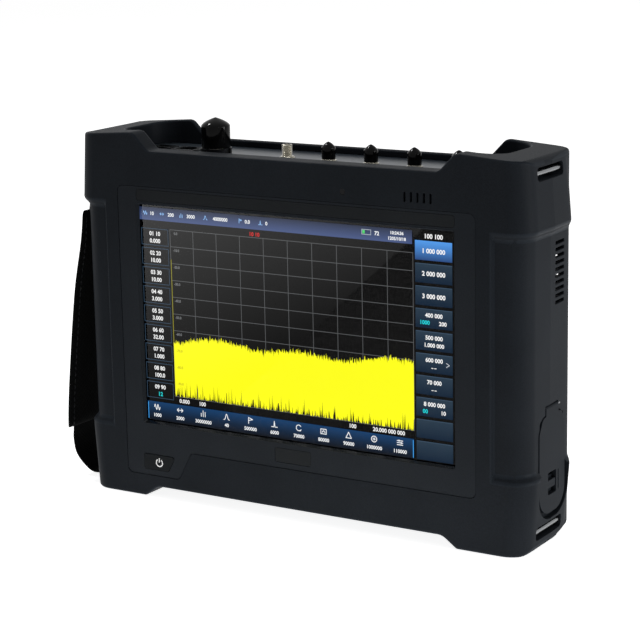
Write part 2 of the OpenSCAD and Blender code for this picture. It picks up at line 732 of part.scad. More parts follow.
module heat_sink() place() color("#9a9ea3") translate([sink_x - sink_w / 2, rf_y1 + rf_sheet, rf_z0 + 6]) {
    cube([sink_w, sink_t, sink_h]);
    for (i = [0 : fin_n - 1]) translate([0, 0, i * (sink_h - fin_t) / (fin_n - 1)])
        cube([sink_w, sink_t + fin_h, fin_t]);
}

// centrifugal blower: square case, round inlet at the back and an outlet against the side vents
module blower_housing() place() color("#1c1c1e") translate([blow_x, blow_y0, blow_z]) {
    difference() {
        along_y(0, blow_t) rrect(blow_s, blow_s, 4);
        rod_y(fan_r + 2, blow_skin, blow_t - blow_skin);
        rod_y(fan_r - 3, blow_t - 2, blow_t + 1);
        box([0, blow_skin, -fan_r - 2], [blow_s, blow_t - blow_skin, fan_r - 6]);
    }
    rod_y(spindle_r, blow_skin - eps, blow_t - 5);
}

module blower_impeller() place() color("#2b2b2e") translate([blow_x, blow_y0, blow_z]) {
    difference() {
        union() {
            rod_y(fan_hub, fan_lift, blow_t - fan_lift - 0.2);
            rod_y(fan_r, fan_lift, fan_lift + 1);
        }
        rod_y(spindle_r + run_fit, 1, blow_t - 4.6);
    }
    for (i = [0 : fan_blades - 1]) rotate([0, i * 360 / fan_blades, 0]) translate([fan_hub - 0.5, 0, 0])
        rotate([0, 25, 0]) box([0, fan_lift + 0.5, -fan_blade_t / 2],
            [fan_r - fan_hub, blow_t - fan_lift - 0.6, fan_blade_t / 2]);
}

// satin plate that carries the connectors
module connector_plate() place() color("#7d8791") difference() {
    translate([0, trough_my]) along_z(plate_z0, floor_z)
        rrect(2 * (trough_x + plate_lap) - 0.2, trough_d + 2 * plate_lap - 0.2, trough_r + plate_lap);
    translate([n_x, conn_y]) along_z(plate_z0 - 1, floor_z + 1) circle(n_r + 0.15);
    for (x = sma_at) translate([x, conn_y]) along_z(plate_z0 - 1, floor_z + 1) circle(sma_r + 0.1);
    translate(usb_at) along_z(plate_z0 - 1, floor_z + 1) square(usb_size + [0.2, 0.2], center = true);
    translate(lan_at) along_z(plate_z0 - 1, floor_z + 1) square(lan_size + [0.2, 0.2], center = true);
}

module n_connector() place() color("#c9c4b4") translate([n_x, conn_y, 0]) {
    top = floor_z + n_h;
    rotate_extrude() polygon([[0, rf_z1], [n_stem, rf_z1], [n_stem, plate_z0 - 3], [n_flange, plate_z0 - 3],
        [n_flange, plate_z0], [n_r, plate_z0], [n_r, top], [n_bore, top], [n_bore, top - n_bore_h],
        [n_sleeve, top - n_bore_h], [n_sleeve, top - n_recess], [n_pin, top - n_recess],
        [n_pin, top - n_bore_h], [0, top - n_bore_h]]);
}

module n_nut() place() color("#b9b9b9") translate([n_x, conn_y, floor_z]) difference() {
    cylinder(r = n_nut_r, h = n_nut_h);
    translate([0, 0, -1]) cylinder(r = n_r + seat_fit, h = n_nut_h + 2);
    for (a = [0, 90, 180, 270]) rotate(a) translate([n_nut_r - 0.7, -1.2, -1]) cube([2, 2.4, n_nut_h + 2]);
}

// push-on dust cap over a thread that stands up by depth: a cup with an elliptic dome and a low pulling nub
module dust_cap(r, h, dome, nub, depth) rotate_extrude() {
    wall = r + cap_wall;
    difference() {
        union() {
            polygon([[0, 0], [wall, 0], for (i = [0 : dome_steps]) let (a = 90 * i / dome_steps)
                [wall * cos(a), h - dome + dome * sin(a)]]);
            polygon([[0, h - 2 * nub_sink], for (i = [0 : dome_steps / 2]) let (a = 180 * i / dome_steps)
                [nub * cos(a), h - nub_sink + nub * nub_flat * sin(a)]]);
        }
        square([r, depth - cap_lift + cap_room]);
    }
}

module n_cap() place() color("#141414") translate([n_x, conn_y, floor_z + n_nut_h + cap_lift])
    dust_cap(n_r + run_fit, n_cap_h, n_dome, n_nub, n_h - n_nut_h);

module sma_connector(i) place() color("#c8b27a") translate([sma_at[i], conn_y, 0]) {
    top = floor_z + sma_h;
    rotate_extrude() polygon([[0, rf_z1], [sma_stem, rf_z1], [sma_stem, plate_z0 - 2],
        [sma_nut_r, plate_z0 - 2], [sma_nut_r, plate_z0], [sma_root, plate_z0],
        [sma_root, floor_z + nut_h], [sma_r, floor_z + nut_h],
        [sma_r, top], [sma_bore, top], [sma_bore, top - sma_bore_h], [sma_pin, top - sma_bore_h],
        [sma_pin, top - 0.8], [0, top - 0.8]]);
}
module sma_connector_1() sma_connector(0);
module sma_connector_2() sma_connector(1);
module sma_connector_3() sma_connector(2);
module sma_connector_4() sma_connector(3);
module sma_connector_5() sma_connector(4);

module sma_nuts() place() color("#c8b27a") for (x = sma_at) translate([x, conn_y, floor_z]) difference() {
    union() {
        cylinder(r = washer_r, h = washer_t);
        translate([0, 0, washer_t]) cylinder(r = sma_nut_r, h = nut_h - washer_t, $fn = 6);
    }
    translate([0, 0, -1]) cylinder(r = sma_root + seat_fit, h = nut_h + 2);
}

module sma_cap(i) place() color("#141414") translate([sma_at[i], conn_y, floor_z + nut_h + cap_lift])
    dust_cap(sma_r + run_fit, sma_cap_h, sma_dome, sma_nub, sma_h - nut_h);
module sma_cap_1() sma_cap(1);
module sma_cap_2() sma_cap(2);
module sma_cap_3() sma_cap(3);
module sma_cap_4() sma_cap(4);

// sockets that stand a little proud of the plate, held by a flange below it
module socket(at, size) translate([at[0], at[1], 0]) difference() {
    union() {
        along_z(plate_z0 - socket_deep, floor_z + socket_proud) square(size, center = true);
        along_z(plate_z0 - socket_lip, plate_z0) square(size + [1.6, 3], center = true);
    }
    translate([0, 0, floor_z + socket_proud - socket_deep]) children();
}

module usb_socket() place() color("#c4c6c9") socket(usb_at, usb_size)
    for (y = [-usb_deck, usb_deck]) difference() {
        translate([0, y]) along_z(0, socket_deep + 1) square(usb_mouth, center = true);
        translate([0, y - 1]) along_z(-1, socket_deep - 1) square(usb_tongue, center = true);
    }

module lan_socket() place() color("#c4c6c9") socket(lan_at, lan_size) {
    along_z(0, socket_deep + 1) square(lan_mouth, center = true);
    translate([0, lan_mouth[1] / 2 + 1]) along_z(0, socket_deep + 1) square(lan_notch, center = true);
}

// hinged battery door with the window and the rails of its latch
module battery_door() place() color("#3c3e41") translate([0, door_y, 0]) difference() {
    union() {
        along_x(door_x - door_t, door_x) polygon(door_path(0, door_pivot_z));
        translate([pivot_x, 0, door_pivot_z]) rod_y(door_t / 2, -neck_w / 2, neck_w / 2);
        // rails that hold the latch, hooked behind it
        for (s = [0, 1]) mirror([0, s, 0]) {
            box([latch_back - 0.1, rail_in, window_z - 9], [door_x - door_t + eps, rail_out, window_z + 7]);
            box([latch_back - 1.1, rail_lip, window_z - 9], [latch_back - 0.1, rail_out, window_z + 7]);
        }
    }
    translate([pivot_x, 0, door_pivot_z]) rod_y(pivot_r + run_fit, -neck_w, neck_w);
    along_x(door_x - door_t - 1, door_x + 1) translate([0, window_z]) rrect(latch_w + 0.6, window_h, 1);
    along_x(door_x - 0.8, door_x + 1) translate([groove_y, window_z]) rrect(groove[0], groove[1], 0.4);
}

module door_pin() place() color("#b8b8b8") translate([pivot_x, door_y, door_pivot_z])
    rod_y(pivot_r, -pivot_len / 2 + 0.2, pivot_len / 2 - 0.2);

// thumb slide behind the door's window, with a tongue that drops into the keeper
module door_latch() place() color("#303235") translate([0, door_y, 0]) {
    bay_lo = batt_z - bay_h / 2;
    box([latch_back, -latch_half, latch_z - 6], [door_x - door_t - run_fit, latch_half, latch_z + 4]);
    along_x(door_x - door_t - 2 * run_fit, door_x - 0.4) translate([0, latch_z]) rrect(latch_w, latch_h, 0.8);
    box([latch_back - tongue_t, -latch_w / 2, bay_lo + 0.3], [latch_back, latch_w / 2, latch_z - 4]);
    box([latch_back, -latch_w / 2, bay_lo + latch_travel + 0.4], [latch_back + 1, latch_w / 2, latch_z - 5]);
}

module battery_pack() place() color("#2a2c30") translate([batt_x1 - batt_l, door_y, batt_z]) {
    along_x(0, batt_l) rrect(batt_d, batt_h, 4);
    along_x(batt_l, batt_l + 0.6) rrect(batt_d - 8, 16, 2);
}

// sleeve around the battery, with ribs that stand on the chassis
module battery_tray() place() color("#55585c") translate([batt_x1 - batt_l, door_y, batt_z]) {
    tray_half = batt_d / 2 + tray_slack;
    difference() {
        box([-tray_t - tray_end, -tray_half - tray_t, -batt_h / 2 - tray_t],
            [batt_l - tray_end, tray_half + tray_t, batt_h / 2 + tray_slack + tray_t]);
        box([-tray_end, -tray_half, -batt_h / 2], [batt_l, tray_half, batt_h / 2 + tray_slack]);
        for (x = [20 : 24 : 110]) box([x, 0, -batt_h / 2 + 8], [x + 16, batt_d, batt_h / 2 - 8]);
    }
    for (x = [12, 60, 104]) box([x, chassis_y1 - door_y, -4], [x + 2, -tray_half - tray_t, batt_h / 2]);
}

module battery_contacts() place() color("#c9a24a") translate([batt_x1 - batt_l - tray_end, door_y, batt_z])
    for (i = [-1 : 1]) box([0, -1.5, 9 * i - 2], [tray_end, 1.5, 9 * i + 2]);

module strap_bars() place() color("#c6c8ca") both() for (z = [slot_lo, slot_hi])
    translate([bar_x, slot_y, z]) rod_y(bar_r, -slot_l / 2 - 2.8, slot_l / 2 + 2.8);

// webbing with a sewn loop around each left bar
module strap_webbing() place() color("#1d1e20") translate([0, slot_y, 0]) {
    difference() {
        union() {
            along_y(-web_w / 2, web_w / 2) polygon(concat(strap_side(0, len(strap_knots) - 1, web_t / 2),
                backwards(strap_side(0, len(strap_knots) - 1, -web_t / 2))));
            for (z = [slot_lo, slot_hi]) translate([-bar_x, 0, z]) rod_y(loop_r, -web_w / 2, web_w / 2);
        }
        for (z = [slot_lo, slot_hi]) translate([-bar_x, 0, z]) rod_y(bar_r + run_fit, -web_w, web_w);
    }
}

module strap_pad() place() color("#242528") along_y(-pad_w / 2, pad_w / 2)
    polygon(concat(strap_side(pad_from, pad_to, -web_t / 2), backwards(pad_inner())));

// fold-out stand: a plate with a rounded hinge edge
module tilt_stand() place() color("#34363a") translate([0, stand_y, stand_z]) difference() {
    union() {
        along_y(-stand_t / 2, stand_t / 2) translate([0, -stand_l / 2]) difference() {
            rrect(stand_w, stand_l, 5);
            translate([-stand_w, stand_l / 2 - 5]) square([2 * stand_w, 20]);
        }
        box([-stand_w / 2, -stand_t / 2, -6], [stand_w / 2, stand_t / 2, 0]);
        rod_x(stand_t / 2, -stand_w / 2, stand_w / 2);
    }
    rod_x(stand_pin_r + run_fit, -stand_w, stand_w);
    // shallow field that lightens the plate, open to the back
    along_y(0.6, stand_t) translate([0, -stand_l / 2 - 3]) rrect(stand_w - 24, stand_l - 26, 4);
}

module stand_pins() place() color("#b8b8b8") both() translate([0, stand_y, stand_z])
    rod_x(stand_pin_r, stand_w / 2 - 12, stand_w / 2 + 4.8);

module case_screws() place() color("#8a8c90") for (p = boss_at) translate([p[0], 0, p[1]])
    pan_screw(screw_seat, screw_seat + screw_grip - 1);

front_shell();
rear_shell();
display_panel();
trim_strip();
badge_plate();
touch_glass();
lcd_module();
power_button();
power_switch();
light_sensor();
speaker();
chassis_plate();
chassis_screws();
main_board();
rf_module();
heat_sink();
blower_housing();
blower_impeller();
connector_plate();
n_connector();
n_nut();
n_cap();
sma_connector_1();
sma_connector_2();
sma_connector_3();
sma_connector_4();
sma_connector_5();
sma_nuts();
sma_cap_1();
sma_cap_2();
sma_cap_3();
sma_cap_4();
usb_socket();
lan_socket();
battery_door();
door_pin();
door_latch();
battery_pack();
battery_tray();
battery_contacts();
strap_bars();
strap_webbing();
strap_pad();
tilt_stand();
stand_pins();
case_screws();
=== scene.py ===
"""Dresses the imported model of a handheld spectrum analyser: rounded case mouldings, a lit display,
threaded connectors, a padded hand strap and a plain studio around it. Sizes are in millimetres,
and MM turns them into the frame's metres. The studio's places are in metres."""

import math

import bmesh
import bpy
import numpy as np
from bpy.props import FloatProperty, FloatVectorProperty, IntProperty, PointerProperty
from mathutils import Matrix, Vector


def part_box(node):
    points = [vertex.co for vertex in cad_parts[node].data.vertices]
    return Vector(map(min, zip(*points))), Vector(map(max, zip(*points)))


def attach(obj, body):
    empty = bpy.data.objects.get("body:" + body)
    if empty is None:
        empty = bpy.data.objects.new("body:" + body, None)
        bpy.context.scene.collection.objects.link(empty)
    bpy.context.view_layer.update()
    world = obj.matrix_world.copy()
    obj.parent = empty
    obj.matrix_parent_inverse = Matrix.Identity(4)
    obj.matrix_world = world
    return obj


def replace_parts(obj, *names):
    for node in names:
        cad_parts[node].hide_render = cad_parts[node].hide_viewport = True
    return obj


bl_info = {
    "name": "Handheld spectrum analyser",
    "version": (1, 0, 0),
    "blender": (4, 5, 0),
    "location": "View3D > Sidebar > Analyser",
    "description": "Dresses the packed model of a handheld spectrum analyser",
    "category": "Object",
}

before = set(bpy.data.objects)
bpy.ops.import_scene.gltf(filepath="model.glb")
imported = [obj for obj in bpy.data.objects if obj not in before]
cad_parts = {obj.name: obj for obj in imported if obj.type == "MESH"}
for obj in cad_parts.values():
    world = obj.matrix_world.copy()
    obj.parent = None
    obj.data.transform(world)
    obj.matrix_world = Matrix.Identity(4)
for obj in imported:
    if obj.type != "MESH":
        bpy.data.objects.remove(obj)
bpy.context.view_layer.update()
MM = 0.001
SMA_COUNT = 5
# least turn, in degrees, of the edges rounded in the first step and in the later ones
FIRST_TURN, LATER_TURN = 24, 40
# room round the pieces that sit in the case's small openings
OPENING_ROOM = {"speaker": 9, "light_sensor": 3, "power_button": 3, "battery_door": 4, "connector_plate": 1.5}
# left, right, low and high edge of the graph, from the picture's middle
GRAPH = (-86.8, 83.1, -50.7, 54.8)
# lamps: name, place, size and power
LAMPS = (("key", (2.0, 0.25, 0.3), (0.9, 0.5), 23), ("top", (-1.0, 0.05, 1.75), (0.25, 0.25), 18),
         ("right", (1.2, -0.76, 1.1), (0.15, 0.2), 1.4), ("left", (-0.79, -1.39, 0.86), (0.15, 0.2), 0.8))
AIM_HEIGHT = 0.11


def linear(code):
    """Linear red, green and blue of an sRGB hex code."""
    value = np.array([int(code[i:i + 2], 16) for i in (1, 3, 5)]) / 255
    value = np.where(value <= 0.04045, value / 12.92, ((value + 0.055) / 1.055) ** 2.4)
    return tuple(value.tolist())


def node_box(name):
    """Lowest and highest corner of a CAD node, in millimetres."""
    low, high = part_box(name)
    return np.array(low) / MM, np.array(high) / MM


def node_axis(name):
    """Middle of a CAD node from left to right and from front to back, in millimetres."""
    low, high = node_box(name)
    return (low + high)[:2] / 2


GLASS_LOW, GLASS_HIGH = node_box("touch_glass")
MIDDLE_X, _, MIDDLE_Z = (GLASS_LOW + GLASS_HIGH) / 2
CASE_LOW = np.minimum(node_box("front_shell")[0], node_box("rear_shell")[0])
CASE_HIGH = np.maximum(node_box("front_shell")[1], node_box("rear_shell")[1])


def colour_setting(name, description, code):
    """A colour that a user may change."""
    return FloatVectorProperty(name=name, description=description, subtype="COLOR", size=3, min=0, max=1,
                               default=linear(code))


def length_setting(name, description, size):
    """A length in millimetres that a user may change."""
    return FloatProperty(name=name, description=description, default=size * MM, unit="LENGTH")


def angle_setting(name, description, degrees):
    """An angle that a user may change."""
    return FloatProperty(name=name, description=description, default=math.radians(degrees), subtype="ANGLE")


class CaseSettings(bpy.types.PropertyGroup):
    """Sizes and colours of the case mouldings."""
    edge: length_setting("Outer edges", "Radius of the case's outer edges", 1.3)
    fine_edge: length_setting("Small edges", "Radius of the edges of small pieces", 0.25)
    seam_edge: length_setting("Seam edges", "Radius of the edges along the front panel's seam", 0.08)
    colour: colour_setting("Case", "Colour of the case", "#1a1d21")
    # lighter than the case: a painted highlight along the rounded outer edges
    rubbed: colour_setting("Painted edge highlight", "Lighter colour painted on the case's outer edges as a highlight", "#1e2227")
    panel: colour_setting("Panel", "Colour of the front panel", "#1f2226")
    inlay: colour_setting("Inlays", "Colour of the inlaid strip and plate", "#1f2123")
    key: colour_setting("Key", "Colour of the power key", "#1a1c1e")


class ScreenSettings(bpy.types.PropertyGroup):
    """Sizes and colours of the displayed picture."""
    columns: IntProperty(name="Trace columns", description="Columns across the noise trace", default=640)
    seed: IntProperty(name="Trace seed", description="Start of the noise trace's random numbers", default=7)
    trace: colour_setting("Trace", "Colour of the trace", "#fffe16")


class ConnectorSettings(bpy.types.PropertyGroup):
    """Sizes and colours of the coaxial connectors and their caps."""
    sma_pitch: length_setting("Small thread pitch", "Pitch of the small connectors' thread", 25.4 / 36)
    n_pitch: length_setting("Large thread pitch", "Pitch of the large connector's thread", 25.4 / 24)
    gold: colour_setting("Gold", "Colour of the gold plating", "#9a8352")
    nickel: colour_setting("Nickel", "Colour of the nickel plating", "#a8a498")
    vinyl: colour_setting("Caps", "Colour of the vinyl caps", "#0b0b0c")


class StrapSettings(bpy.types.PropertyGroup):
    """Sizes and colours of the hand strap."""
    stitch: length_setting("Stitch", "Length of one stitch", 3.2)
    pad: colour_setting("Pad", "Colour of the pad's fabric", "#090a0a")
    webbing: colour_setting("Webbing", "Colour of the webbing", "#090a0a")
    thread: colour_setting("Thread", "Colour of the sewing thread", "#17181a")


class StageSettings(bpy.types.PropertyGroup):
    """Camera and floor."""
    azimuth: angle_setting("Azimuth", "Turn of the camera round the object", 31.66)
    elevation: angle_setting("Elevation", "Height of the camera above the horizon", 12.72)
    roll: angle_setting("Roll", "Tilt of the picture", 1.097)
    lens: FloatProperty(name="Lens", description="Focal length in millimetres on a 36 mm frame", default=118.4)
    place: FloatVectorProperty(name="Camera", description="Place of the camera", size=3, unit="LENGTH",
                               default=(0.6683, -1.0635, 0.4005))
    floor: colour_setting("Floor", "Colour of the floor", "#f4f4f4")


SETTINGS = {"analyser_case": CaseSettings, "analyser_screen": ScreenSettings,
            "analyser_connectors": ConnectorSettings, "analyser_strap": StrapSettings,
            "analyser_stage": StageSettings}


def fill(tree, node, inputs):
    """Sets a shader node's inputs, or links them to other nodes' outputs."""
    for socket, value in inputs.items():
        if isinstance(value, bpy.types.NodeSocket):
            tree.links.new(value, node.inputs[socket])
        else:
            node.inputs[socket].default_value = value


def add_node(tree, kind, inputs=None, **settings):
    """Adds a shader node with its attributes and inputs."""
    made = tree.nodes.new("ShaderNode" + kind)
    for key, value in settings.items():
        setattr(made, key, value)
    fill(tree, made, inputs or {})
    return made


def new_material(name):
    """A node material with one surface shader: the material, its tree, the shader and Object coordinates."""
    made = bpy.data.materials.new(name)
    made.use_nodes = True
    tree = made.node_tree
    tree.nodes.clear()
    shader = add_node(tree, "BsdfPrincipled")
    add_node(tree, "OutputMaterial", {"Surface": shader.outputs["BSDF"]})
    return made, tree, shader, add_node(tree, "TexCoord").outputs["Object"]


def noise(tree, place, size, detail=2.0):
    """Noise with grains of a size in millimetres."""
    return add_node(tree, "TexNoise", {"Vector": place, "Scale": 1 / (size * MM),
                                       "Detail": detail}).outputs["Fac"]


def ranged(tree, value, low, high, start=0.3, stop=0.7):
    """A value between start and stop, stretched to lie between low and high."""
    return add_node(tree, "MapRange", {"Value": value, "From Min": start, "From Max": stop, "To Min": low,
                                       "To Max": high}).outputs["Result"]


def worked(tree, operation, *values):
    """Result of a sum with one or two values."""
    return add_node(tree, "Math", dict(enumerate(values)), operation=operation).outputs["Value"]


def tinted(tree, colour, level):
    """A colour times a level."""
    return add_node(tree, "VectorMath", {0: tuple(colour), "Scale": level}, operation="SCALE").outputs["Vector"]


def dented(tree, height, depth, strength):
    """Normal of a surface with dents of a depth in millimetres."""
    return add_node(tree, "Bump", {"Height": height, "Distance": depth * MM,
                                   "Strength": strength}).outputs["Normal"]


def moulded_plastic(name, colour, roughness, grain=0.7, depth=0.035, specular=0.03):
    """Injection-moulded ABS. The spark-eroded mould leaves a fine grain that breaks the gloss, and the
    colour drifts by a few per cent. The real grain is 0.2 mm, drawn at 0.7 mm so that it shows."""
    made, tree, shader, place = new_material(name)
    fine, broad = noise(tree, place, grain, 3.0), noise(tree, place, 45)
    level = worked(tree, "MULTIPLY", ranged(tree, broad, 0.9, 1.1), ranged(tree, fine, 0.84, 1.16))
    fill(tree, shader, {"Base Color": tinted(tree, colour, level), "Specular IOR Level": specular,
                        "Roughness": ranged(tree, fine, roughness - 0.05, roughness + 0.07),
                        "Normal": dented(tree, fine, depth, 0.6)})
    return made


def plated_metal(name, colour, roughness):
    """Turned and plated metal: fine turning lines, 0.25 mm apart, and a slightly uneven gloss."""
    made, tree, shader, place = new_material(name)
    stretch = add_node(tree, "Mapping", {"Vector": place, "Scale": (60, 60, 1 / (0.25 * MM))})
    lines = noise(tree, stretch.outputs["Vector"], 1 / MM)
    fill(tree, shader, {"Base Color": tinted(tree, colour, ranged(tree, lines, 0.88, 1.06)), "Metallic": 1.0,
                        "Roughness": ranged(tree, lines, roughness * 0.7, roughness * 1.4),
                        "Normal": dented(tree, lines, 0.01, 0.4)})
    return made


def coated_metal(name, colour, roughness, metallic):
    """Bead-blasted or painted sheet: an even fine pebble of 0.4 mm under a satin coat."""
    made, tree, shader, place = new_material(name)
    pebble = noise(tree, place, 0.4)
    fill(tree, shader, {"Base Color": tinted(tree, colour, ranged(tree, pebble, 0.9, 1.08)),
                        "Roughness": roughness, "Metallic": metallic,
                        "Normal": dented(tree, pebble, 0.02, 0.5)})
    return made


def glossy_vinyl(name, colour, specular):
    """Dip-moulded soft vinyl: a wet gloss over faint waves 3 mm wide, where the dip ran."""
    made, tree, shader, place = new_material(name)
    waves = noise(tree, place, 3, 1.0)
    fill(tree, shader, {"Base Color": (*colour, 1), "Specular IOR Level": specular,
                        "Roughness": ranged(tree, waves, 0.06, 0.16),
                        "Normal": dented(tree, waves, 0.08, 0.35)})
    return made


def woven_fabric(name, colour, spacing, sheen, mapped):
    """Woven polyester: warp and weft threads cross under each other. It follows the piece's own map,
    where one unit is a metre, or else its height and depth. Real threads are 0.4 mm wide, drawn wider
    so that they show."""
    made, tree, shader, place = new_material(name)
    turned = add_node(tree, "Mapping", {"Vector": place, "Rotation": (0, math.pi / 2, math.pi / 2)})
    flat = add_node(tree, "UVMap", uv_map="cloth").outputs["UV"] if mapped else turned.outputs["Vector"]
    split = add_node(tree, "SeparateXYZ", {"Vector": flat}).outputs
    ribs = [worked(tree, "SINE", worked(tree, "MULTIPLY", split[axis], math.pi / (spacing * MM)))
            for axis in ("X", "Y")]
    height = worked(tree, "ADD", worked(tree, "MULTIPLY", *ribs), noise(tree, place, 0.6, 3.0))
    fill(tree, shader, {"Base Color": tinted(tree, colour, ranged(tree, height, 0.6, 1.35, -0.6, 1.6)),
                        "Normal": dented(tree, height, 0.12, 0.7), "Roughness": 0.85,
                        "Specular IOR Level": 0.01, "Sheen Weight": sheen, "Sheen Roughness": 0.5})
    return made


def circuit_board(name):
    """Solder mask over copper: green lacquer in cells of 3.5 mm with paler tracks between them."""
    made, tree, shader, place = new_material(name)
    cells = add_node(tree, "TexVoronoi", {"Vector": place, "Scale": 1 / (3.5 * MM)}, distance="CHEBYCHEV")
    tone = add_node(tree, "Mix", {"Factor": ranged(tree, cells.outputs["Distance"], 0, 1, 0.4, 0.5),
                                  "A": (*linear("#14432a"), 1), "B": (*linear("#2a6a45"), 1)}, data_type="RGBA")
    fill(tree, shader, {"Base Color": tone.outputs["Result"], "Roughness": 0.35})
    return made


def display_glass(name):
    """Touch glass with an anti-reflection coat, bonded to the picture: it hardly mirrors by itself, and
    the picture behind it carries the gloss. Faint smears 12 mm wide vary it."""
    made, tree, shader, place = new_material(name)
    fill(tree, shader, {"Base Color": (1, 1, 1, 1), "Transmission Weight": 1.0, "IOR": 1.0,
                        "Roughness": ranged(tree, noise(tree, place, 12), 0.0, 0.02)})
    return made


def lit_picture(name):
    """Liquid-crystal picture: light of the colours stored with the picture's own shapes, under the weak
    mirror of a coated glass."""
    made, tree, shader, _ = new_material(name)
    fill(tree, shader, {"Emission Color": add_node(tree, "Attribute", attribute_name="light").outputs["Color"],
                        "Emission Strength": 1.0, "Base Color": (0, 0, 0, 1), "Roughness": 0.02,
                        "Specular IOR Level": 0.065})
    return made


def white_print(name):
    """Screen-printed white ink with a grain of 0.3 mm."""
    made, tree, shader, place = new_material(name)
    level = ranged(tree, noise(tree, place, 0.3), 0.62, 0.86, 0, 1)
    tone = add_node(tree, "CombineColor", {0: level, 1: level, 2: level})
    fill(tree, shader, {"Base Color": tone.outputs["Color"], "Roughness": 0.6})
    return made


def finish(name, maker, *values):
    """The material of that name, made once."""
    return bpy.data.materials.get(name) or maker(name, *values)


def grid_faces(rows, columns, around=False):
    """Quads between the points of a grid; around joins the last column to the first."""
    row = np.arange(rows - 1)[:, None]
    column = np.arange(columns if around else columns - 1)[None, :]
    after = (column + 1) % columns
    quads = [row * columns + column, row * columns + after, (row + 1) * columns + after,
             (row + 1) * columns + column]
    return np.stack(quads, -1).reshape(-1, 4).tolist()


def joined(parts):
    """One array of points and one list of faces from several pairs of them."""
    points, faces, count = [], [], 0
    for spots, polygons in parts:
        points.append(spots)
        faces += [[v + count for v in polygon] for polygon in polygons]
        count += len(spots)
    return np.concatenate(points), faces


def lengths(line):
    """Distance of each point of a line from its start, along the line."""
    return np.concatenate([[0], np.cumsum(np.linalg.norm(np.diff(line, axis=0), axis=1))])


def read(items, name, kind=float):
    """One value or vector of each vertex, face or corner of a mesh, flat."""
    size = 1 if kind is int else 3
    values = np.empty(len(items) * size, kind)
    items.foreach_get(name, values)
    return values


def new_piece(name, points, faces, material, body, slot, smooth=40):
    """Object at the origin from points in millimetres and faces. Doubled points are merged, which
    closes seams and poles, and the faces are turned outwards."""
    mesh = bpy.data.meshes.new(name)
    mesh.from_pydata((np.asarray(points) * MM).tolist(), [], faces)
    work = bmesh.new()
    work.from_mesh(mesh)
    bmesh.ops.remove_doubles(work, verts=work.verts, dist=0.0005 * MM)
    bmesh.ops.recalc_face_normals(work, faces=work.faces)
    work.to_mesh(mesh)
    work.free()
    return place_piece(name, mesh, material, body, smooth)


def place_piece(name, mesh, material, body, smooth=40):
    """Shades a finished mesh smooth below an angle, gives it its material and sets it on its body."""
    mesh.shade_smooth()
    mesh.set_sharp_from_angle(angle=math.radians(smooth))
    mesh.materials.append(material)
    made = bpy.data.objects.new(name, mesh)
    bpy.context.scene.collection.objects.link(made)
    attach(made, body)
    return made


def rounded_copy(node, name, material, body, steps, highlight_finish=None):
    """Copy of a CAD node with rounded edges, which stands for the node. Each step is a radius in
    millimetres, a number of strips and a test of the edges' middles. The strips of the first step take
    the second material, if there is one, whose lighter colour paints a highlight along those edges."""
    work = bmesh.new()
    work.from_mesh(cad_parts[node].data)
    bmesh.ops.remove_doubles(work, verts=work.verts, dist=0.002 * MM)
    bmesh.ops.dissolve_limit(work, angle_limit=math.radians(0.6), verts=work.verts, edges=work.edges,
                             delimit={"NORMAL"})
    for step, (radius, strips, test) in enumerate(steps):
        work.edges.ensure_lookup_table()
        edges = [e for e in work.edges if len(e.link_faces) == 2]
        middle = (np.array([[v.co for v in e.verts] for e in edges]) / MM).mean(1)
        turn = np.degrees(np.abs([e.calc_face_angle(0) for e in edges]))
        chosen = (turn > (LATER_TURN if step else FIRST_TURN)) & test(middle)
        bmesh.ops.bevel(work, geom=[e for e, c in zip(edges, chosen) if c], offset=radius * MM,
                        offset_type="OFFSET", segments=strips, profile=0.5, affect="EDGES",
                        clamp_overlap=False, miter_outer="SHARP", miter_inner="SHARP",
                        material=1 if highlight_finish and step == 0 else -1)
    mesh = bpy.data.meshes.new(name)
    work.to_mesh(mesh)
    work.free()
    made = place_piece(name, mesh, material, body)
    if highlight_finish:
        mesh.materials.append(highlight_finish)
    made.modifiers.new("even", "WEIGHTED_NORMAL").keep_sharp = True
    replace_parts(made, node)
    return made


def carried(centres, side, ups, profile):
    """Closed profile carried along a path: each point is the path's centre plus the side direction times
    the profile's first number plus the up direction times its second. Profiles close the two ends.
    One direction may serve the whole path."""
    side, ups = (np.broadcast_to(np.asarray(d, float), centres.shape) for d in (side, ups))
    points = centres[:, None] + side[:, None] * profile[None, :, :1] + ups[:, None] * profile[None, :, 1:]
    rows, columns = points.shape[:2]
    first = np.arange(columns)
    ends = [first[::-1].tolist(), (first + (rows - 1) * columns).tolist()]
    return points.reshape(-1, 3), grid_faces(rows, columns, around=True) + ends


def revolved(profile, centre, turns=64, pitch=1.0, depth=0.0):
    """Profile of radius and height turned about an upright axis through the centre. Its third number is
    the strength of a thread: the radius falls by depth times a triangle wave of height / pitch minus
    angle / full turn."""
    profile = np.array([(*row, 0)[:3] for row in profile], float)
    angle = np.linspace(0, 2 * math.pi, turns, endpoint=False)
    wave = np.abs((profile[:, None, 1] / pitch - angle / (2 * math.pi)) % 1 * 2 - 1)
    radius = profile[:, None, 0] - depth * wave * profile[:, None, 2]
    points = np.stack([centre[0] + radius * np.cos(angle), centre[1] + radius * np.sin(angle),
                       np.broadcast_to(profile[:, None, 1], radius.shape)], -1)
    return points.reshape(-1, 3), grid_faces(len(profile), turns, around=True)


def thread_rows(radius, low, high, pitch):
    """Rows of a thread for revolved: ten heights to each pitch, fading in at both ends."""
    height = np.linspace(low, high, int((high - low) / pitch * 10) + 2)
    fade = np.clip(np.minimum(height - low, high - height) / (0.6 * pitch), 0, 1)
    return np.stack([np.full_like(height, radius), height, fade], -1).tolist()


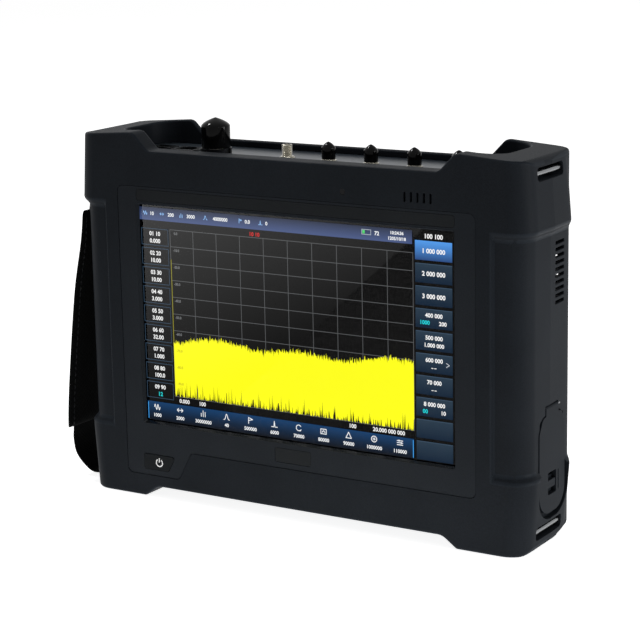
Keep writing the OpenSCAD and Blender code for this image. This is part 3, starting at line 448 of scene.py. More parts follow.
def slabs(lows, highs):
    """Boxes from arrays of lowest and highest corners: six quads each."""
    lows, highs = np.asarray(lows, float), np.asarray(highs, float)
    pick = np.array([[0, 0, 0], [1, 0, 0], [1, 1, 0], [0, 1, 0], [0, 0, 1], [1, 0, 1], [1, 1, 1], [0, 1, 1]])
    points = np.where(pick[None] == 1, highs[:, None], lows[:, None])
    quads = np.array([[0, 3, 2, 1], [4, 5, 6, 7], [0, 1, 5, 4], [1, 2, 6, 5], [2, 3, 7, 6], [3, 0, 4, 7]])
    faces = quads[None] + 8 * np.arange(len(lows))[:, None, None]
    return points.reshape(-1, 3), faces.reshape(-1, 4).tolist()


def four_by_four(points):
    """Quads of points that come in fours."""
    return np.arange(len(points)).reshape(-1, 4).tolist()


def plates(rows):
    """Picture rectangles from rows of left, low, right, high, low colour and high colour, shaded between."""
    edges = np.array([row[:4] for row in rows], float)
    points = edges[:, [0, 1, 2, 1, 2, 3, 0, 3]].reshape(-1, 2)
    tones = [[linear(row[4])] * 2 + [linear(row[5])] * 2 for row in rows]
    return points, four_by_four(points), np.array(tones).reshape(-1, 3)


def frames(rows, width, tone):
    """Picture outlines from rows of left, low, right and high: four thin plates each."""
    thin = []
    for left, low, right, high in rows:
        thin += [(left, low, right, low + width), (left, high - width, right, high),
                 (left, low, left + width, high), (right - width, low, right, high)]
    return plates([(*row, tone, tone) for row in thin])


def strokes(lines, width, tone):
    """Picture lines: each stretch between two points is a rectangle half the width to either side."""
    quads = []
    for line in lines:
        line = np.asarray(line, float)
        along = np.diff(line, axis=0)
        along = along / np.linalg.norm(along, axis=1, keepdims=True) * width / 2
        across = along[:, ::-1] * (-1, 1)
        start, end = line[:-1] - along * 0.6, line[1:] + along * 0.6
        quads.append(np.stack([start - across, end - across, end + across, start + across], 1))
    points = np.concatenate(quads).reshape(-1, 2)
    return points, four_by_four(points), np.tile(linear(tone), (len(points), 1))


def figures(rows, height, tone):
    """Picture numbers from rows of text, middle and baseline, set in Blender's own font. A row may end
    with its own colour, or with its own colour and height."""
    parts, tones = [], []
    for row in rows:
        text, middle, base, shade, tall = (*row, *(tone, height)[len(row) - 3:])
        curve = bpy.data.curves.new("figures", "FONT")
        curve.body, curve.align_x, curve.size, curve.resolution_u = text, "CENTER", tall * 1.38, 3
        curve.offset = 0.04 * tall
        letters = bpy.data.objects.new("figures", curve)
        mesh = bpy.data.meshes.new_from_object(letters)
        spots = read(mesh.vertices, "co").reshape(-1, 3)[:, :2] + (middle, base)
        parts.append((spots, [list(face.vertices) for face in mesh.polygons]))
        tones.append(np.tile(linear(shade), (len(spots), 1)))
        bpy.data.objects.remove(letters)
        bpy.data.curves.remove(curve)
        bpy.data.meshes.remove(mesh)
    return *joined(parts), np.concatenate(tones)


def circle(middle, radius, start=0.0, end=2 * math.pi, steps=20):
    """Points on an arc."""
    angle = np.linspace(start, end, steps)
    return np.stack([middle[0] + radius * np.cos(angle), middle[1] + radius * np.sin(angle)], -1)


def inside(middle, low, high, room):
    """Tells which points lie in a box grown by some room."""
    return ((middle > np.asarray(low) - room) & (middle < np.asarray(high) + room)).all(1)


def beside(middle, node, room):
    """Tells which points lie within some room of a CAD node's vertices, seen from the front."""
    spots = read(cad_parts[node].data.vertices, "co").reshape(-1, 3)[:, ::2] / MM
    spots = np.unique(spots.round(1), axis=0)
    return (np.linalg.norm(middle[:, None, ::2] - spots, axis=2) < room).any(1)


def every_edge(middle):
    """Takes every edge."""
    return np.ones(len(middle), bool)


def seat_edges(middle):
    """Edges of the front panel's seat."""
    return inside(middle, *node_box("display_panel"), 1)


def small_edges(middle):
    """Edges round the case's slots and holes and the door's recess."""
    low, high = node_box("strap_bars")
    bar, slot_high, slot_deep, wall = 1.8, 4.8, 18.5, 9
    upper = np.abs(middle[:, 2] - high[2] + bar) < slot_high
    lower = np.abs(middle[:, 2] - low[2] - bar) < slot_high
    slots = (upper | lower) & (np.abs(middle[:, 1] - (low[1] + high[1]) / 2) < slot_deep)
    sides = np.minimum(middle[:, 0] - CASE_LOW[0], CASE_HIGH[0] - middle[:, 0]) < wall
    low, high = node_box("blower_housing")
    vents = (middle[:, 2] > low[2]) & (middle[:, 2] < high[2] - 1.5) & (middle[:, 1] > 2)
    inlet = inside(middle, low, high + (0, 20, 0), 3)
    holes = [inside(middle, *node_box(node), room) for node, room in OPENING_ROOM.items()]
    small = sides & (slots | vents) | inlet | beside(middle, "case_screws", 1.2) | np.any(holes, axis=0)
    return small & ~seat_edges(middle)


def outer_edges(middle):
    """Edges of the case's outer skin that are rounded wide: away from the parting plane and from the
    small openings."""
    reach = np.minimum(middle - CASE_LOW, CASE_HIGH - middle)
    skin = (reach < (9, 3.5, 13)).any(1)
    return skin & (np.abs(middle[:, 1]) > 0.5) & ~small_edges(middle) & ~seat_edges(middle)


class ANALYSER_OT_case(bpy.types.Operator):
    """Rounds the case's two mouldings, the battery door, its latch and the stand"""
    bl_idname = "analyser.case"
    bl_label = "Case"

    def execute(self, context):
        values = context.scene.analyser_case
        black = finish("moulded_abs_black", moulded_plastic, values.colour, 0.5)
        # the strips of the outer edges get a lighter copy of the case plastic: a painted highlight along those
        # edges
        rubbed = finish("moulded_abs_rubbed", moulded_plastic, values.rubbed, 0.4)
        outer = [(values.edge / MM, 3, outer_edges), (values.fine_edge / MM, 1, small_edges),
                 (values.seam_edge / MM, 1, seat_edges)]
        fine = [(values.fine_edge / MM, 2, every_edge)]
        for node in ("front_shell", "rear_shell"):
            rounded_copy(node, node + "_moulding", black, "case", outer, rubbed)
        for node in ("battery_door", "door_latch", "tilt_stand"):
            rounded_copy(node, node + "_moulding", black, node, fine)
        return {"FINISHED"}


class ANALYSER_OT_front_panel(bpy.types.Operator):
    """Makes the front panel, its inlays and the power key with its symbol"""
    bl_idname = "analyser.front_panel"
    bl_label = "Front panel"

    def execute(self, context):
        values = context.scene.analyser_case
        panel = finish("moulded_abs_grey", moulded_plastic, values.panel, 0.45)
        polished = finish("moulded_abs_polished", moulded_plastic, values.panel, 0.22, 0.7, 0.01, 0.3)
        inlay = finish("printed_polycarbonate", moulded_plastic, values.inlay, 0.35, 0.5, 0.015)
        rubber = finish("moulded_silicone", moulded_plastic, values.key, 0.6)
        fine = [(values.fine_edge / MM, 2, every_edge)]
        made = rounded_copy("display_panel", "front_panel_moulding", panel, "case",
                            [(values.seam_edge / MM, 1, every_edge)])
        self.polished_sill(made.data, polished)
        for node in ("trim_strip", "badge_plate"):
            rounded_copy(node, node + "_inlay", inlay, "case", fine)
        rounded_copy("power_button", "power_key", rubber, "power_button", fine)
        self.power_symbol()
        return {"FINISHED"}

    def polished_sill(self, mesh, polished):
        """Gives the slope under the display, which the mould polishes, its gloss."""
        mesh.materials.append(polished)
        normal = read(mesh.polygons, "normal").reshape(-1, 3)
        centre = read(mesh.polygons, "center").reshape(-1, 3) / MM
        slope = (normal[:, 2] > 0.5) & (normal[:, 1] < -0.3) & inside(centre, GLASS_LOW, GLASS_HIGH, 4)
        mesh.polygons.foreach_set("material_index", slope.astype(np.int32))

    def power_symbol(self):
        """Broken ring and bar, each a flat profile carried along an arc or a line on the key's face."""
        low, high = node_box("power_button")
        middle = np.array([(low[0] + high[0]) / 2, low[1], (low[2] + high[2]) / 2])
        ink = finish("screen_print_white", white_print)
        profile = np.array([(-0.36, -0.02), (0.36, -0.02), (0.36, 0.05), (-0.36, 0.05)])
        out, radius = (0, -1, 0), 2.35
        angle = np.radians(np.linspace(35, 325, 40))
        spoke = np.stack([np.sin(angle), np.zeros(40), np.cos(angle)], -1)
        ring = carried(middle + radius * spoke, spoke, out, profile)
        bar = carried(middle + np.array([(0, 0, 0.3), (0, 0, 3.1)]), (1, 0, 0), out, profile)
        new_piece("power_symbol", *joined([ring, bar]), ink, "power_button", "panel_grey")


class ANALYSER_OT_display(bpy.types.Operator):
    """Lights the display with a spectrum picture behind its touch glass"""
    bl_idname = "analyser.display"
    bl_label = "Display"

    def execute(self, context):
        values = context.scene.analyser_screen
        self.lay([*self.backgrounds(), *self.graph(values), *self.side_columns(), *self.bars()])
        return {"FINISHED"}

    def lay(self, layers):
        """Puts the layers in front of each other, one step apart, and stores their colours."""
        step, left, low = 0.02, MIDDLE_X - 1.0, MIDDLE_Z - 0.5
        face = node_box("lcd_module")[0][1]
        spots, faces = joined([(flat, polygons) for flat, polygons, _ in layers])
        depth = np.concatenate([np.full(len(layer[0]), face - step - step * i) for i, layer in enumerate(layers)])
        points = np.stack([spots[:, 0] + left, depth, spots[:, 1] + low], -1)
        mesh = bpy.data.meshes.new("display_picture")
        mesh.from_pydata((points * MM).tolist(), [], faces)
        light = mesh.color_attributes.new("light", "FLOAT_COLOR", "POINT")
        tones = np.concatenate([tone for _, _, tone in layers])
        light.data.foreach_set("color", np.concatenate([tones, np.ones((len(points), 1))], 1).ravel())
        place_piece("display_picture", mesh, finish("liquid_crystal_picture", lit_picture), "case")

    def backgrounds(self):
        """Dark border and the picture's ground."""
        return [plates([(-111.9, -71.9, 113.9, 72.4, "#000000", "#000000")]),
                plates([(-109, -67.9, 109, 67.9, "#020202", "#020202")])]

    def graph(self, values):
        """Ten by ten grid, the noise trace and the scale's numbers. The trace's upper edge is a slow
        sum of sines plus noise, and the lower edge stands on the grid's floor with random spikes."""
        left, right, low, high = GRAPH
        across, up = np.linspace(left, right, 11), np.linspace(low, high, 11)
        grid = strokes([[(x, low), (x, high)] for x in across] + [[(left, z), (right, z)] for z in up],
                       0.34, "#5c5e60")
        draw = np.random.default_rng(values.seed)
        u = np.linspace(left, right, values.columns)
        slow = -14.5 + 1.5 * np.sin(u / 9.7 + 1.0) + 1.2 * np.sin(u / 21 + 4.2) + 0.02 * (u - left)
        top = slow + draw.normal(0, 1.2, values.columns)
        spikes = np.where(draw.random(values.columns) < 0.6, draw.gamma(1.1, 2.2, values.columns), 0)
        bottom = low + np.clip(spikes, 0, 10)
        points = np.stack([np.concatenate([u, u]), np.concatenate([bottom, top])], -1)
        band = points, grid_faces(2, values.columns), np.tile(tuple(values.trace), (len(points), 1))
        edge = strokes([[(left + 0.2, 36), (left + 0.2, -16)]], 0.5, "#8d8711")
        scale = figures([("%.1f" % (-10 * i), left + 4.2, high - 2.9 - i * (high - low) / 10,
                          "#77797b" if i < 7 else "#c9c01e") for i in range(10)], 1.6, None)
        mark = figures([("10 10", -25.0, 55.7)], 2.4, "#d42a26")
        return [grid, band, edge, scale, mark]

    def side_columns(self):
        """Nine value boxes at the left and ten keys at the right, with plain numbers."""
        pale, white, blue = "#f4f4f4", "#f8f8f8", "#1fd6dc"
        box, key = -98.2, 96.6
        tops = 54.7 - 12.19 * np.arange(9)
        rims = frames([(-108.4, t - 10.6, -88.1, t) for t in tops], 0.42, "#33475a")
        names = figures([("%02d %02d" % (i + 1, 10 * i + 10), box, t - 4.4) for i, t in enumerate(tops)],
                        2.6, pale)
        sizes = ["0.000", "10.00", "10.00", "3.000", "3.000", "32.00", "1.000", "100.0", "12"]
        amounts = figures([(size, box, t - 8.9, "#22d4d8" if i == 8 else pale)
                           for i, (size, t) in enumerate(zip(sizes, tops))], 2.6, pale)
        heads = 62.45 - 13.18 * np.arange(10)
        keys = plates([(84.6, t - 11.3, 108.6, t, *(("#091f34", "#283a4a") if i else ("#29497f", "#539beb")))
                       for i, t in enumerate(heads)])
        lips = strokes([[(84.9, t - 0.2), (108.3, t - 0.2)] for t in heads[1:]], 0.4, "#3c5166")
        title = figures([("100 100", key, 63.9)], 2.7, white)
        wide = figures([("%d 000 000" % (i + 1), key, heads[i] - 7.1) for i in range(3)], 2.7, white)
        upper = figures([(text, key, t - 4.9) for text, t in zip(
            ("400 000", "500 000", "600 000", "70 000", "8 000 000"), heads[3:])], 2.5, white)
        choices = [figures([(first, 90.6, heads[i] - 9.2, blue), (second, 102.4, heads[i] - 9.2)], 2.4, white)
                   for i, first, second in ((3, "1000", "200"), (7, "00", "10"))]
        lower = figures([("1.000 000", key, heads[4] - 9.2)], 2.4, white)
        dashes = strokes([[(u, heads[i] - 8.4), (u + 1.1, heads[i] - 8.4)]
                          for i in (5, 6) for u in (94.9, 96.9)], 0.45, white)
        chevron = strokes([[(u, heads[5] - down) for u, down in ((104.6, 4.4), (106.6, 5.6), (104.6, 6.8))]],
                          0.4, "#c9d0d6")
        return [rims, names, amounts, keys, lips, title, wide, upper, *choices, lower, dashes, chevron]

    def icon_row(self, middles, height, size, width, tone):
        """Icons beside each other at a height."""
        return strokes([np.asarray(line) * size + (u, height) for u, lines in zip(middles, self.icons())
                        for line in lines], width, tone)

    def bars(self):
        """Bar along the top with its icons and counters, strip under the graph and bar of icons below it."""
        pale, bright = "#f0f2f4", "#f4f6f8"
        top = plates([(-109, 59.85, 82.9, 67.9, "#455684", "#212b43")])
        ends = figures([(text, u, -54.3) for text, u in (
            ("0.000", -79.8), ("100", -66.4), ("100", 41.5), ("20.000 000 000", 66.2))], 2.5, "#f0f0f0")
        low = plates([(-108.1, -67.7, 83.0, -62.5, "#080d16", "#0a233d"),
                      (-108.1, -62.5, 83.0, -55.7, "#0a233d", "#123d69")])
        marks = strokes([[(u, -66.9), (u, -56.5)] for u in (-107.6, 82.5)], 0.5, "#3fa2f0")
        middles = -100.9 + 17.45 * np.arange(11)
        icons = self.icon_row(middles, -59.2, 2.1, 0.5, pale)
        digits = (4, 4, 8, 2, 6, 4, 5, 5, 5, 7, 6)
        labels = figures([(str((i + 1) * 10 ** (count - 1 - i // 9)), u, -65.4)
                          for i, (u, count) in enumerate(zip(middles, digits))], 2.2, pale)
        small = self.icon_row((-104.7, -92.1, -77.8, -59.9, -34.5, -20.2), 64.2, 1.4, 0.4, "#8fbcf0")
        counters = figures([(text, u, 63.1) for text, u in (
            ("10", -99.6), ("200", -85.4), ("3000", -70.6), ("4000000", -49.0), ("0.0", -29.4),
            ("0", -15.9))], 2.2, pale)
        cell = frames([(49.6, 62.9, 56.0, 66.1)], 0.35, "#aeb6c2")
        charge = plates([(50.2, 63.5, 51.8, 65.5, "#38c458", "#5fe07c")])
        counts = figures([("72", 59.8, 63.2, bright, 2.3), ("10:24:36", 73.0, 64.6),
                          ("1205/10/18", 73.0, 61.3)], 1.9, bright)
        return [top, ends, low, marks, icons, labels, small, counters, cell, charge, counts]

    def icons(self):
        """Plain signs of the instrument's settings, each a few lines in a square from -1 to 1."""
        turn = np.linspace(-1, 1, 17)
        wave = np.stack([turn, 0.8 * np.sin(turn * 2 * math.pi)], -1)
        bell = np.stack([turn, 1.7 * np.exp(-6 * turn ** 2) - 0.8], -1)
        span = [[(-1, 0), (1, 0)], [(-0.5, 0.5), (-1, 0), (-0.5, -0.5)], [(0.5, 0.5), (1, 0), (0.5, -0.5)]]
        columns = [[(-0.7, -0.9), (-0.7, 0.1)], [(0, -0.9), (0, 0.9)], [(0.7, -0.9), (0.7, 0.5)]]
        flag = [[(-0.6, -0.9), (-0.6, 0.9), (0.8, 0.4), (-0.6, 0)]]
        peak = [[(-1, -0.8), (-0.2, -0.8), (0, 0.9), (0.2, -0.8), (1, -0.8)]]
        turned = [circle((0, 0), 0.85, 0.6, 5.6), [(0.4, -0.9), (0.8, -0.45)]]
        window = [[(-0.9, -0.7), (0.9, -0.7), (0.9, 0.7), (-0.9, 0.7), (-0.9, -0.7)],
                  [(-0.5, -0.3), (0, 0.3), (0.5, -0.3)]]
        triangle = [[(-0.9, -0.8), (0.9, -0.8), (0, 0.9), (-0.9, -0.8)]]
        target = [circle((0, 0), 0.85), [(0, -0.4), (0, 0.4)], [(-0.4, 0), (0.4, 0)]]
        sliders = [[(-0.9, z), (0.9, z)] for z in (0.6, 0, -0.6)]
        sliders += [[(-0.3, 0.85), (-0.3, 0.35)], [(0.4, 0.25), (0.4, -0.25)]]
        return [[wave], span, columns, [bell], flag, peak, turned, window, triangle, target, sliders]


class ANALYSER_OT_connectors(bpy.types.Operator):
    """Makes the threaded coaxial connectors and their nuts"""
    bl_idname = "analyser.connectors"
    bl_label = "Connectors"

    def execute(self, context):
        values = context.scene.analyser_connectors
        nickel = finish("nickel_plated_brass", plated_metal, values.nickel, 0.22)
        black = finish("black_oxide_steel", plated_metal, linear("#17181a"), 0.4)
        fine = [(0.15, 2, every_edge)]
        rounded_copy("sma_nuts", "small_hex_nuts", nickel, "case", fine)
        rounded_copy("n_nut", "large_ring_nut", black, "case", fine)
        base, nut = node_box("connector_plate")[0][2], node_box("sma_nuts")[1][2]
        pitch = values.sma_pitch / MM
        for i in range(1, SMA_COUNT + 1):
            node = "sma_connector_%d" % i
            foot, top = (corner[2] for corner in node_box(node))
            profile = [(0, foot), (2.6, foot), (2.6, base - 2), (4.6, base - 2), (4.6, base), (2.79, base),
                       (2.79, nut), *thread_rows(3.175, nut, top - 0.25, pitch), (2.9, top), (2.3, top),
                       (2.3, top - 3.4), (0.65, top - 3.4), (0.65, top - 0.95), (0.5, top - 0.8),
                       (0, top - 0.8)]
            self.turn(node, "small_coaxial_%d" % i, profile, nickel, 48, pitch, 0.385)
        foot, top = (corner[2] for corner in node_box("n_connector"))
        ring, pitch = node_box("n_nut")[1][2], values.n_pitch / MM
        profile = [(0, foot), (6, foot), (6, base - 3), (10, base - 3), (10, base), (7.9, base),
                   (7.9, ring), *thread_rows(7.9, ring, top - 0.5, pitch), (7.3, top), (6.2, top),
                   (6.2, top - 10), (4, top - 10), (4, top - 4), (1.5, top - 4), (1.5, top - 10), (0, top - 10)]
        self.turn("n_connector", "large_coaxial", profile, nickel, 64, pitch, 0.6)
        return {"FINISHED"}

    def turn(self, node, name, profile, metal, turns, pitch, depth):
        """Turned and threaded connector that stands for a CAD node."""
        shape = revolved(profile, node_axis(node), turns, pitch, depth)
        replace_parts(new_piece(name, *shape, metal, "case", "nickel", smooth=50), node)


class ANALYSER_OT_dust_caps(bpy.types.Operator):
    """Makes the soft push-on caps of the connectors"""
    bl_idname = "analyser.dust_caps"
    bl_label = "Dust caps"

    def execute(self, context):
        vinyl = finish("dipped_vinyl", glossy_vinyl, context.scene.analyser_connectors.vinyl, 0.07)
        self.cap("n_cap", "n_connector", vinyl, 5.5, 1.05, 1.8)
        for i in range(1, SMA_COUNT):
            self.cap("sma_cap_%d" % i, "sma_connector_%d" % (i + 1), vinyl, 3.5, 1.4, 1.2)
        return {"FINISHED"}

    def cap(self, node, connector, vinyl, dome, point, shoulder):
        """Cap turned from its bore over a rolled lip and a straight wall to a pointed dome: its height is
        (1 - radius ^ point) ^ (1 / shoulder) of the whole, with the radius as a share of the wall's."""
        low, high = node_box(node)
        outer, foot, top = (high[0] - low[0]) / 2, low[2], high[2]
        bore, roof = outer - 1, node_box(connector)[1][2] + 0.2
        share = np.cos(np.linspace(0, math.pi / 2, 28))
        radius, height = outer * share, top - dome + dome * (1 - share ** point).clip(0) ** (1 / shoulder)
        profile = [(0, roof), (bore, roof), (bore, foot + 0.3), (bore + 0.2, foot), (outer - 0.35, foot),
                   (outer - 0.1, foot + 0.1), (outer, foot + 0.35), *np.stack([radius, height], -1).tolist()]
        made = new_piece(node + "_vinyl", *revolved(profile, node_axis(node)), vinyl, node, "vinyl", smooth=60)
        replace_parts(made, node)


class ANALYSER_OT_sockets(bpy.types.Operator):
    """Adds the contacts of the two data sockets"""
    bl_idname = "analyser.sockets"
    bl_label = "Data sockets"

    def execute(self, context):
        gold = finish("gold_plated_brass", plated_metal, context.scene.analyser_connectors.gold, 0.24)
        (x, y), top = node_axis("lan_socket"), node_box("lan_socket")[1][2]
        wires = x + 1.02 * (np.arange(8) - 3.5)
        lows = [(w - 0.23, y - 4.02, top - 6.5) for w in wires]
        highs = [(w + 0.23, y - 3.4, top - 1.5) for w in wires]
        (x, y), top = node_axis("usb_socket"), node_box("usb_socket")[1][2]
        for deck in (y - 3.9, y + 3.9):
            for pad in x + np.array([-3.5, -1, 1, 3.5]):
                lows.append((pad - 0.6, deck - 0.07, top - 6.5))
                highs.append((pad + 0.6, deck + 0.05, top - 2.3))
        new_piece("socket_contacts", *slabs(lows, highs), gold, "case", "gold")
        return {"FINISHED"}


class ANALYSER_OT_hand_strap(bpy.types.Operator):
    """Makes the hand strap: webbing looped round the left bars, and a sewn pad"""
    bl_idname = "analyser.hand_strap"
    bl_label = "Hand strap"

    # sizes of the CAD strap, and the knots between which the pad lies
    bar_r, web_w, web_t, pad_w, pad_t = 1.8, 30.0, 1.4, 52.0, 6.0
    pad_from, pad_to = 5.0, 9.0

    def execute(self, context):
        values = context.scene.analyser_strap
        self.measure()
        self.webbing(finish("woven_polyester_webbing", woven_fabric, values.webbing, 1.3, 0.02, True))
        pad = self.pad(finish("woven_nylon_pad", woven_fabric, values.pad, 1.5, 0.02, False))
        thread = finish("polyester_thread", woven_fabric, values.thread, 0.5, 0.1, False)
        self.stitching(values.stitch / MM, thread)
        return {"FINISHED"}

    def measure(self):
        """Takes the bars' places and the bow from the CAD solids, and lists the path's knots as distance
        out from the case and height."""
        low, high = node_box("strap_bars")
        self.bar_x, lo, hi = low[0] + self.bar_r, low[2] + self.bar_r, high[2] - self.bar_r
        self.slot_lo, self.slot_hi = lo, hi
        self.middle_y, self.pad_y = (low[1] + high[1]) / 2, node_axis("strap_pad")[1]
        bow = CASE_LOW[0] - node_box("strap_webbing")[0][0] - self.web_t / 2
        bar, under = CASE_LOW[0] - self.bar_x, self.bar_r + 0.05 + self.web_t / 2 - 0.2
        self.knots = np.array([
            (bar, hi - under), (-2.6, hi - under), (-0.6, hi - under - 1.6), (0, hi - 14), (0.9, hi - 30),
            (2.4, hi - 41.3), (0.23 * bow, hi - 61), (0.56 * bow, lo + 112), (0.88 * bow, lo + 52),
            (0.98 * bow, lo + 22), (bow, lo + 11.7), (0.89 * bow, lo + 2.2), (0.5 * bow, lo - 6.2),
            (0.19 * bow, lo - 7.2), (0.02 * bow, lo - 4.4), (-2.4, lo - under), (bar, lo - under)])

    def path(self, s):
        """Catmull-Rom curve through the knots at whole numbers of s: points and outward directions."""
        last = len(self.knots) - 1
        i = np.clip(np.floor(s).astype(int), 0, last - 1)
        t = (s - i)[:, None]
        a, b, c, d = (self.knots[np.clip(i + k, 0, last)] for k in (-1, 0, 1, 2))
        square, cube = 2 * a - 5 * b + 4 * c - d, 3 * b - a - 3 * c + d
        spot = 0.5 * (2 * b + (c - a) * t + square * t ** 2 + cube * t ** 3)
        slope = 0.5 * ((c - a) + 2 * square * t + 3 * cube * t ** 2)
        slope /= np.linalg.norm(slope, axis=1, keepdims=True)
        flat = np.zeros(len(s))
        points = np.stack([CASE_LOW[0] - spot[:, 0], flat, spot[:, 1]], -1)
        return points, np.stack([slope[:, 1], flat, slope[:, 0]], -1)

    def loop(self, height, turn):
        """Path round a bar: an arc of the bar's radius plus half the webbing."""
        reach = self.bar_r + 0.08 + self.web_t / 2
        angle = np.radians(turn)
        out = np.stack([np.cos(angle), np.zeros(len(angle)), np.sin(angle)], -1)
        return np.array((self.bar_x, 0, height)) + out * reach, out

    def webbing(self, cloth):
        """Flat profile with rounded edges carried along the path and round both bars, with a flat map in
        metres for the weave."""
        turn = np.linspace(205, -80, 40)
        parts = [self.loop(self.slot_hi, turn), self.path(np.linspace(0.05, len(self.knots) - 1.05, 260)),
                 self.loop(self.slot_lo, turn[::-1])]
        centres = np.concatenate([line for line, _ in parts]) + (0, self.middle_y, 0)
        ups = np.concatenate([out for _, out in parts])
        half, thick, rim = self.web_w / 2, self.web_t / 2, 0.5
        edge = circle((0, 0), 1.0, -math.pi / 2, math.pi / 2, 7) * (rim, thick) + (half - rim, 0)
        face = np.stack([np.linspace(half - 1, 1 - half, 15), np.full(15, thick)], -1)
        half_loop = np.concatenate([edge, face])
        profile = np.concatenate([half_loop, -half_loop])
        made = new_piece("strap_webbing_woven", *carried(centres, (0, 1, 0), ups, profile), cloth, "case",
                         "webbing")
        flat = np.stack(np.broadcast_arrays(profile[:, 0], lengths(centres)[:, None]), -1).reshape(-1, 2) * MM
        layer = made.data.uv_layers.new(name="cloth")
        layer.data.foreach_set("uv", flat[read(made.data.loops, "vertex_index", int)].ravel())
        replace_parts(made, "strap_webbing")

    def fullness(self, s):
        """Thickness of the pad along the path, thin at its upper end."""
        return self.pad_t * np.minimum(1, 0.35 + 0.3 * (s - self.pad_from))

    def pad(self, cloth):
        """Closed pad: a profile with rounded sides, whose inner face is crowned, carried along the path
        and drawn in at both ends. Cloth simulation swells it between its seams."""
        rows, columns = 56, 30
        s = np.linspace(self.pad_from + 0.02, self.pad_to - 0.02, rows)
        line, out = self.path(s)
        end = np.clip(np.minimum(np.arange(rows), np.arange(rows)[::-1]) / 4, 0, 1)
        draw = np.sqrt(1 - (1 - end) ** 2)
        full = (self.fullness(s) * (0.35 + 0.65 * draw))[:, None]
        half = (self.pad_w / 2 - 0.3) * (0.93 + 0.07 * draw)
        across = np.linspace(-1, 1, columns)
        side = np.sign(across) * (1 - (1 - np.abs(across)) ** 1.35)
        crown = 1 - np.abs(side) ** 5
        back = self.web_t / 2 + 0.12
        wide = (half[:, None] * side)[..., None] * np.array((0, 1.0, 0))
        spots = (line + (0, self.pad_y, 0))[:, None]
        outer, inner = (spots - out[:, None] * (back + full * depth)[..., None] + wide
                        for depth in (0.28 * (1 - crown), 0.55 + 0.4 * crown))
        ring = np.concatenate([outer, inner[:, ::-1]], 1)
        count = ring.shape[1]
        faces = grid_faces(rows, count, around=True)
        for row in (0, rows - 1):
            first = row * count + np.arange(columns - 1)
            other = row * count + count - 1 - np.arange(columns - 1)
            faces += np.stack([first, first + 1, other - 1, other], -1).tolist()
        made = new_piece("strap_pad_sewn", ring.reshape(-1, 3), faces, cloth, "case", "pad", smooth=70)
        held = np.zeros((rows, count))
        held[:, :columns] = 1
        held[:3] = held[-3:] = 1
        held[:, columns:][:, [0, 1, 3, -1, -2, -4]] = 1
        self.swell(made, held.ravel())
        self.seam_at = np.stack([ring[:, columns + 3], ring[:, -4]])
        smooth = made.modifiers.new("smooth", "SUBSURF")
        smooth.levels = smooth.render_levels = 1
        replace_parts(made, "strap_pad")
        return made

    def swell(self, made, held, most=1.6):
        """Swells the pad with inner pressure while its back and seams are held, and caps the move."""
        group = made.vertex_groups.new(name="held")
        group.add(np.flatnonzero(held).tolist(), 1.0, "REPLACE")
        cloth = made.modifiers.new("cloth", "CLOTH")
        cloth.settings.vertex_group_mass = "held"
        cloth.settings.use_pressure = True
        cloth.settings.uniform_pressure_force = 4.0
        cloth.settings.effector_weights.gravity = 0.0
        scene, last = bpy.context.scene, 20
        for step in range(1, last + 1):
            scene.frame_set(step)
        after = read(made.evaluated_get(bpy.context.evaluated_depsgraph_get()).data.vertices, "co")
        made.modifiers.remove(cloth)
        scene.frame_set(1)
        before = read(made.data.vertices, "co")
        move = (after - before).reshape(-1, 3)
        far = np.maximum(np.linalg.norm(move, axis=1, keepdims=True), 1e-9)
        move *= np.minimum(1, most * MM / far)
        made.data.vertices.foreach_set("co", before + move.ravel())
        made.data.update()
        made.vertex_groups.remove(group)

    def stitching(self, length, thread):
        """Rows of stitches on the pad's inner seams: each is a small ridge of three rings along the seam."""
        sides, radii, margin, gap = 6, (0.12, 0.42, 0.12), 5, 1.3
        angle = np.linspace(0, 2 * math.pi, sides, endpoint=False)[:, None]
        ridge = len(radii) * sides
        first = np.arange(sides)
        one = [np.array(grid_faces(len(radii), sides, around=True)),
               np.array([first[::-1], first + ridge - sides])]
        parts = []
        for seam in self.seam_at:
            run = lengths(seam)
            spots = np.arange(margin, run[-1] - margin, length * gap)
            ends = [np.stack([np.interp(spots + k * length, run, seam[:, i]) for i in range(3)], -1)
                    for k in (0, 0.5, 1)]
            along = ends[2] - ends[0]
            along /= np.linalg.norm(along, axis=1, keepdims=True)
            side = np.tile((0, 1.0, 0), (len(spots), 1))
            spin = side[:, None] * np.cos(angle) + np.cross(side, along)[:, None] * np.sin(angle)
            block = np.stack([at[:, None] + radius * spin for at, radius in zip(ends, radii)], 1)
            starts = ridge * np.arange(len(spots))[:, None, None]
            faces = [face for shape in one for face in (shape + starts).reshape(-1, shape.shape[1]).tolist()]
            parts.append((block.reshape(-1, 3), faces))
        new_piece("strap_pad_stitching", *joined(parts), thread, "case", "pad")


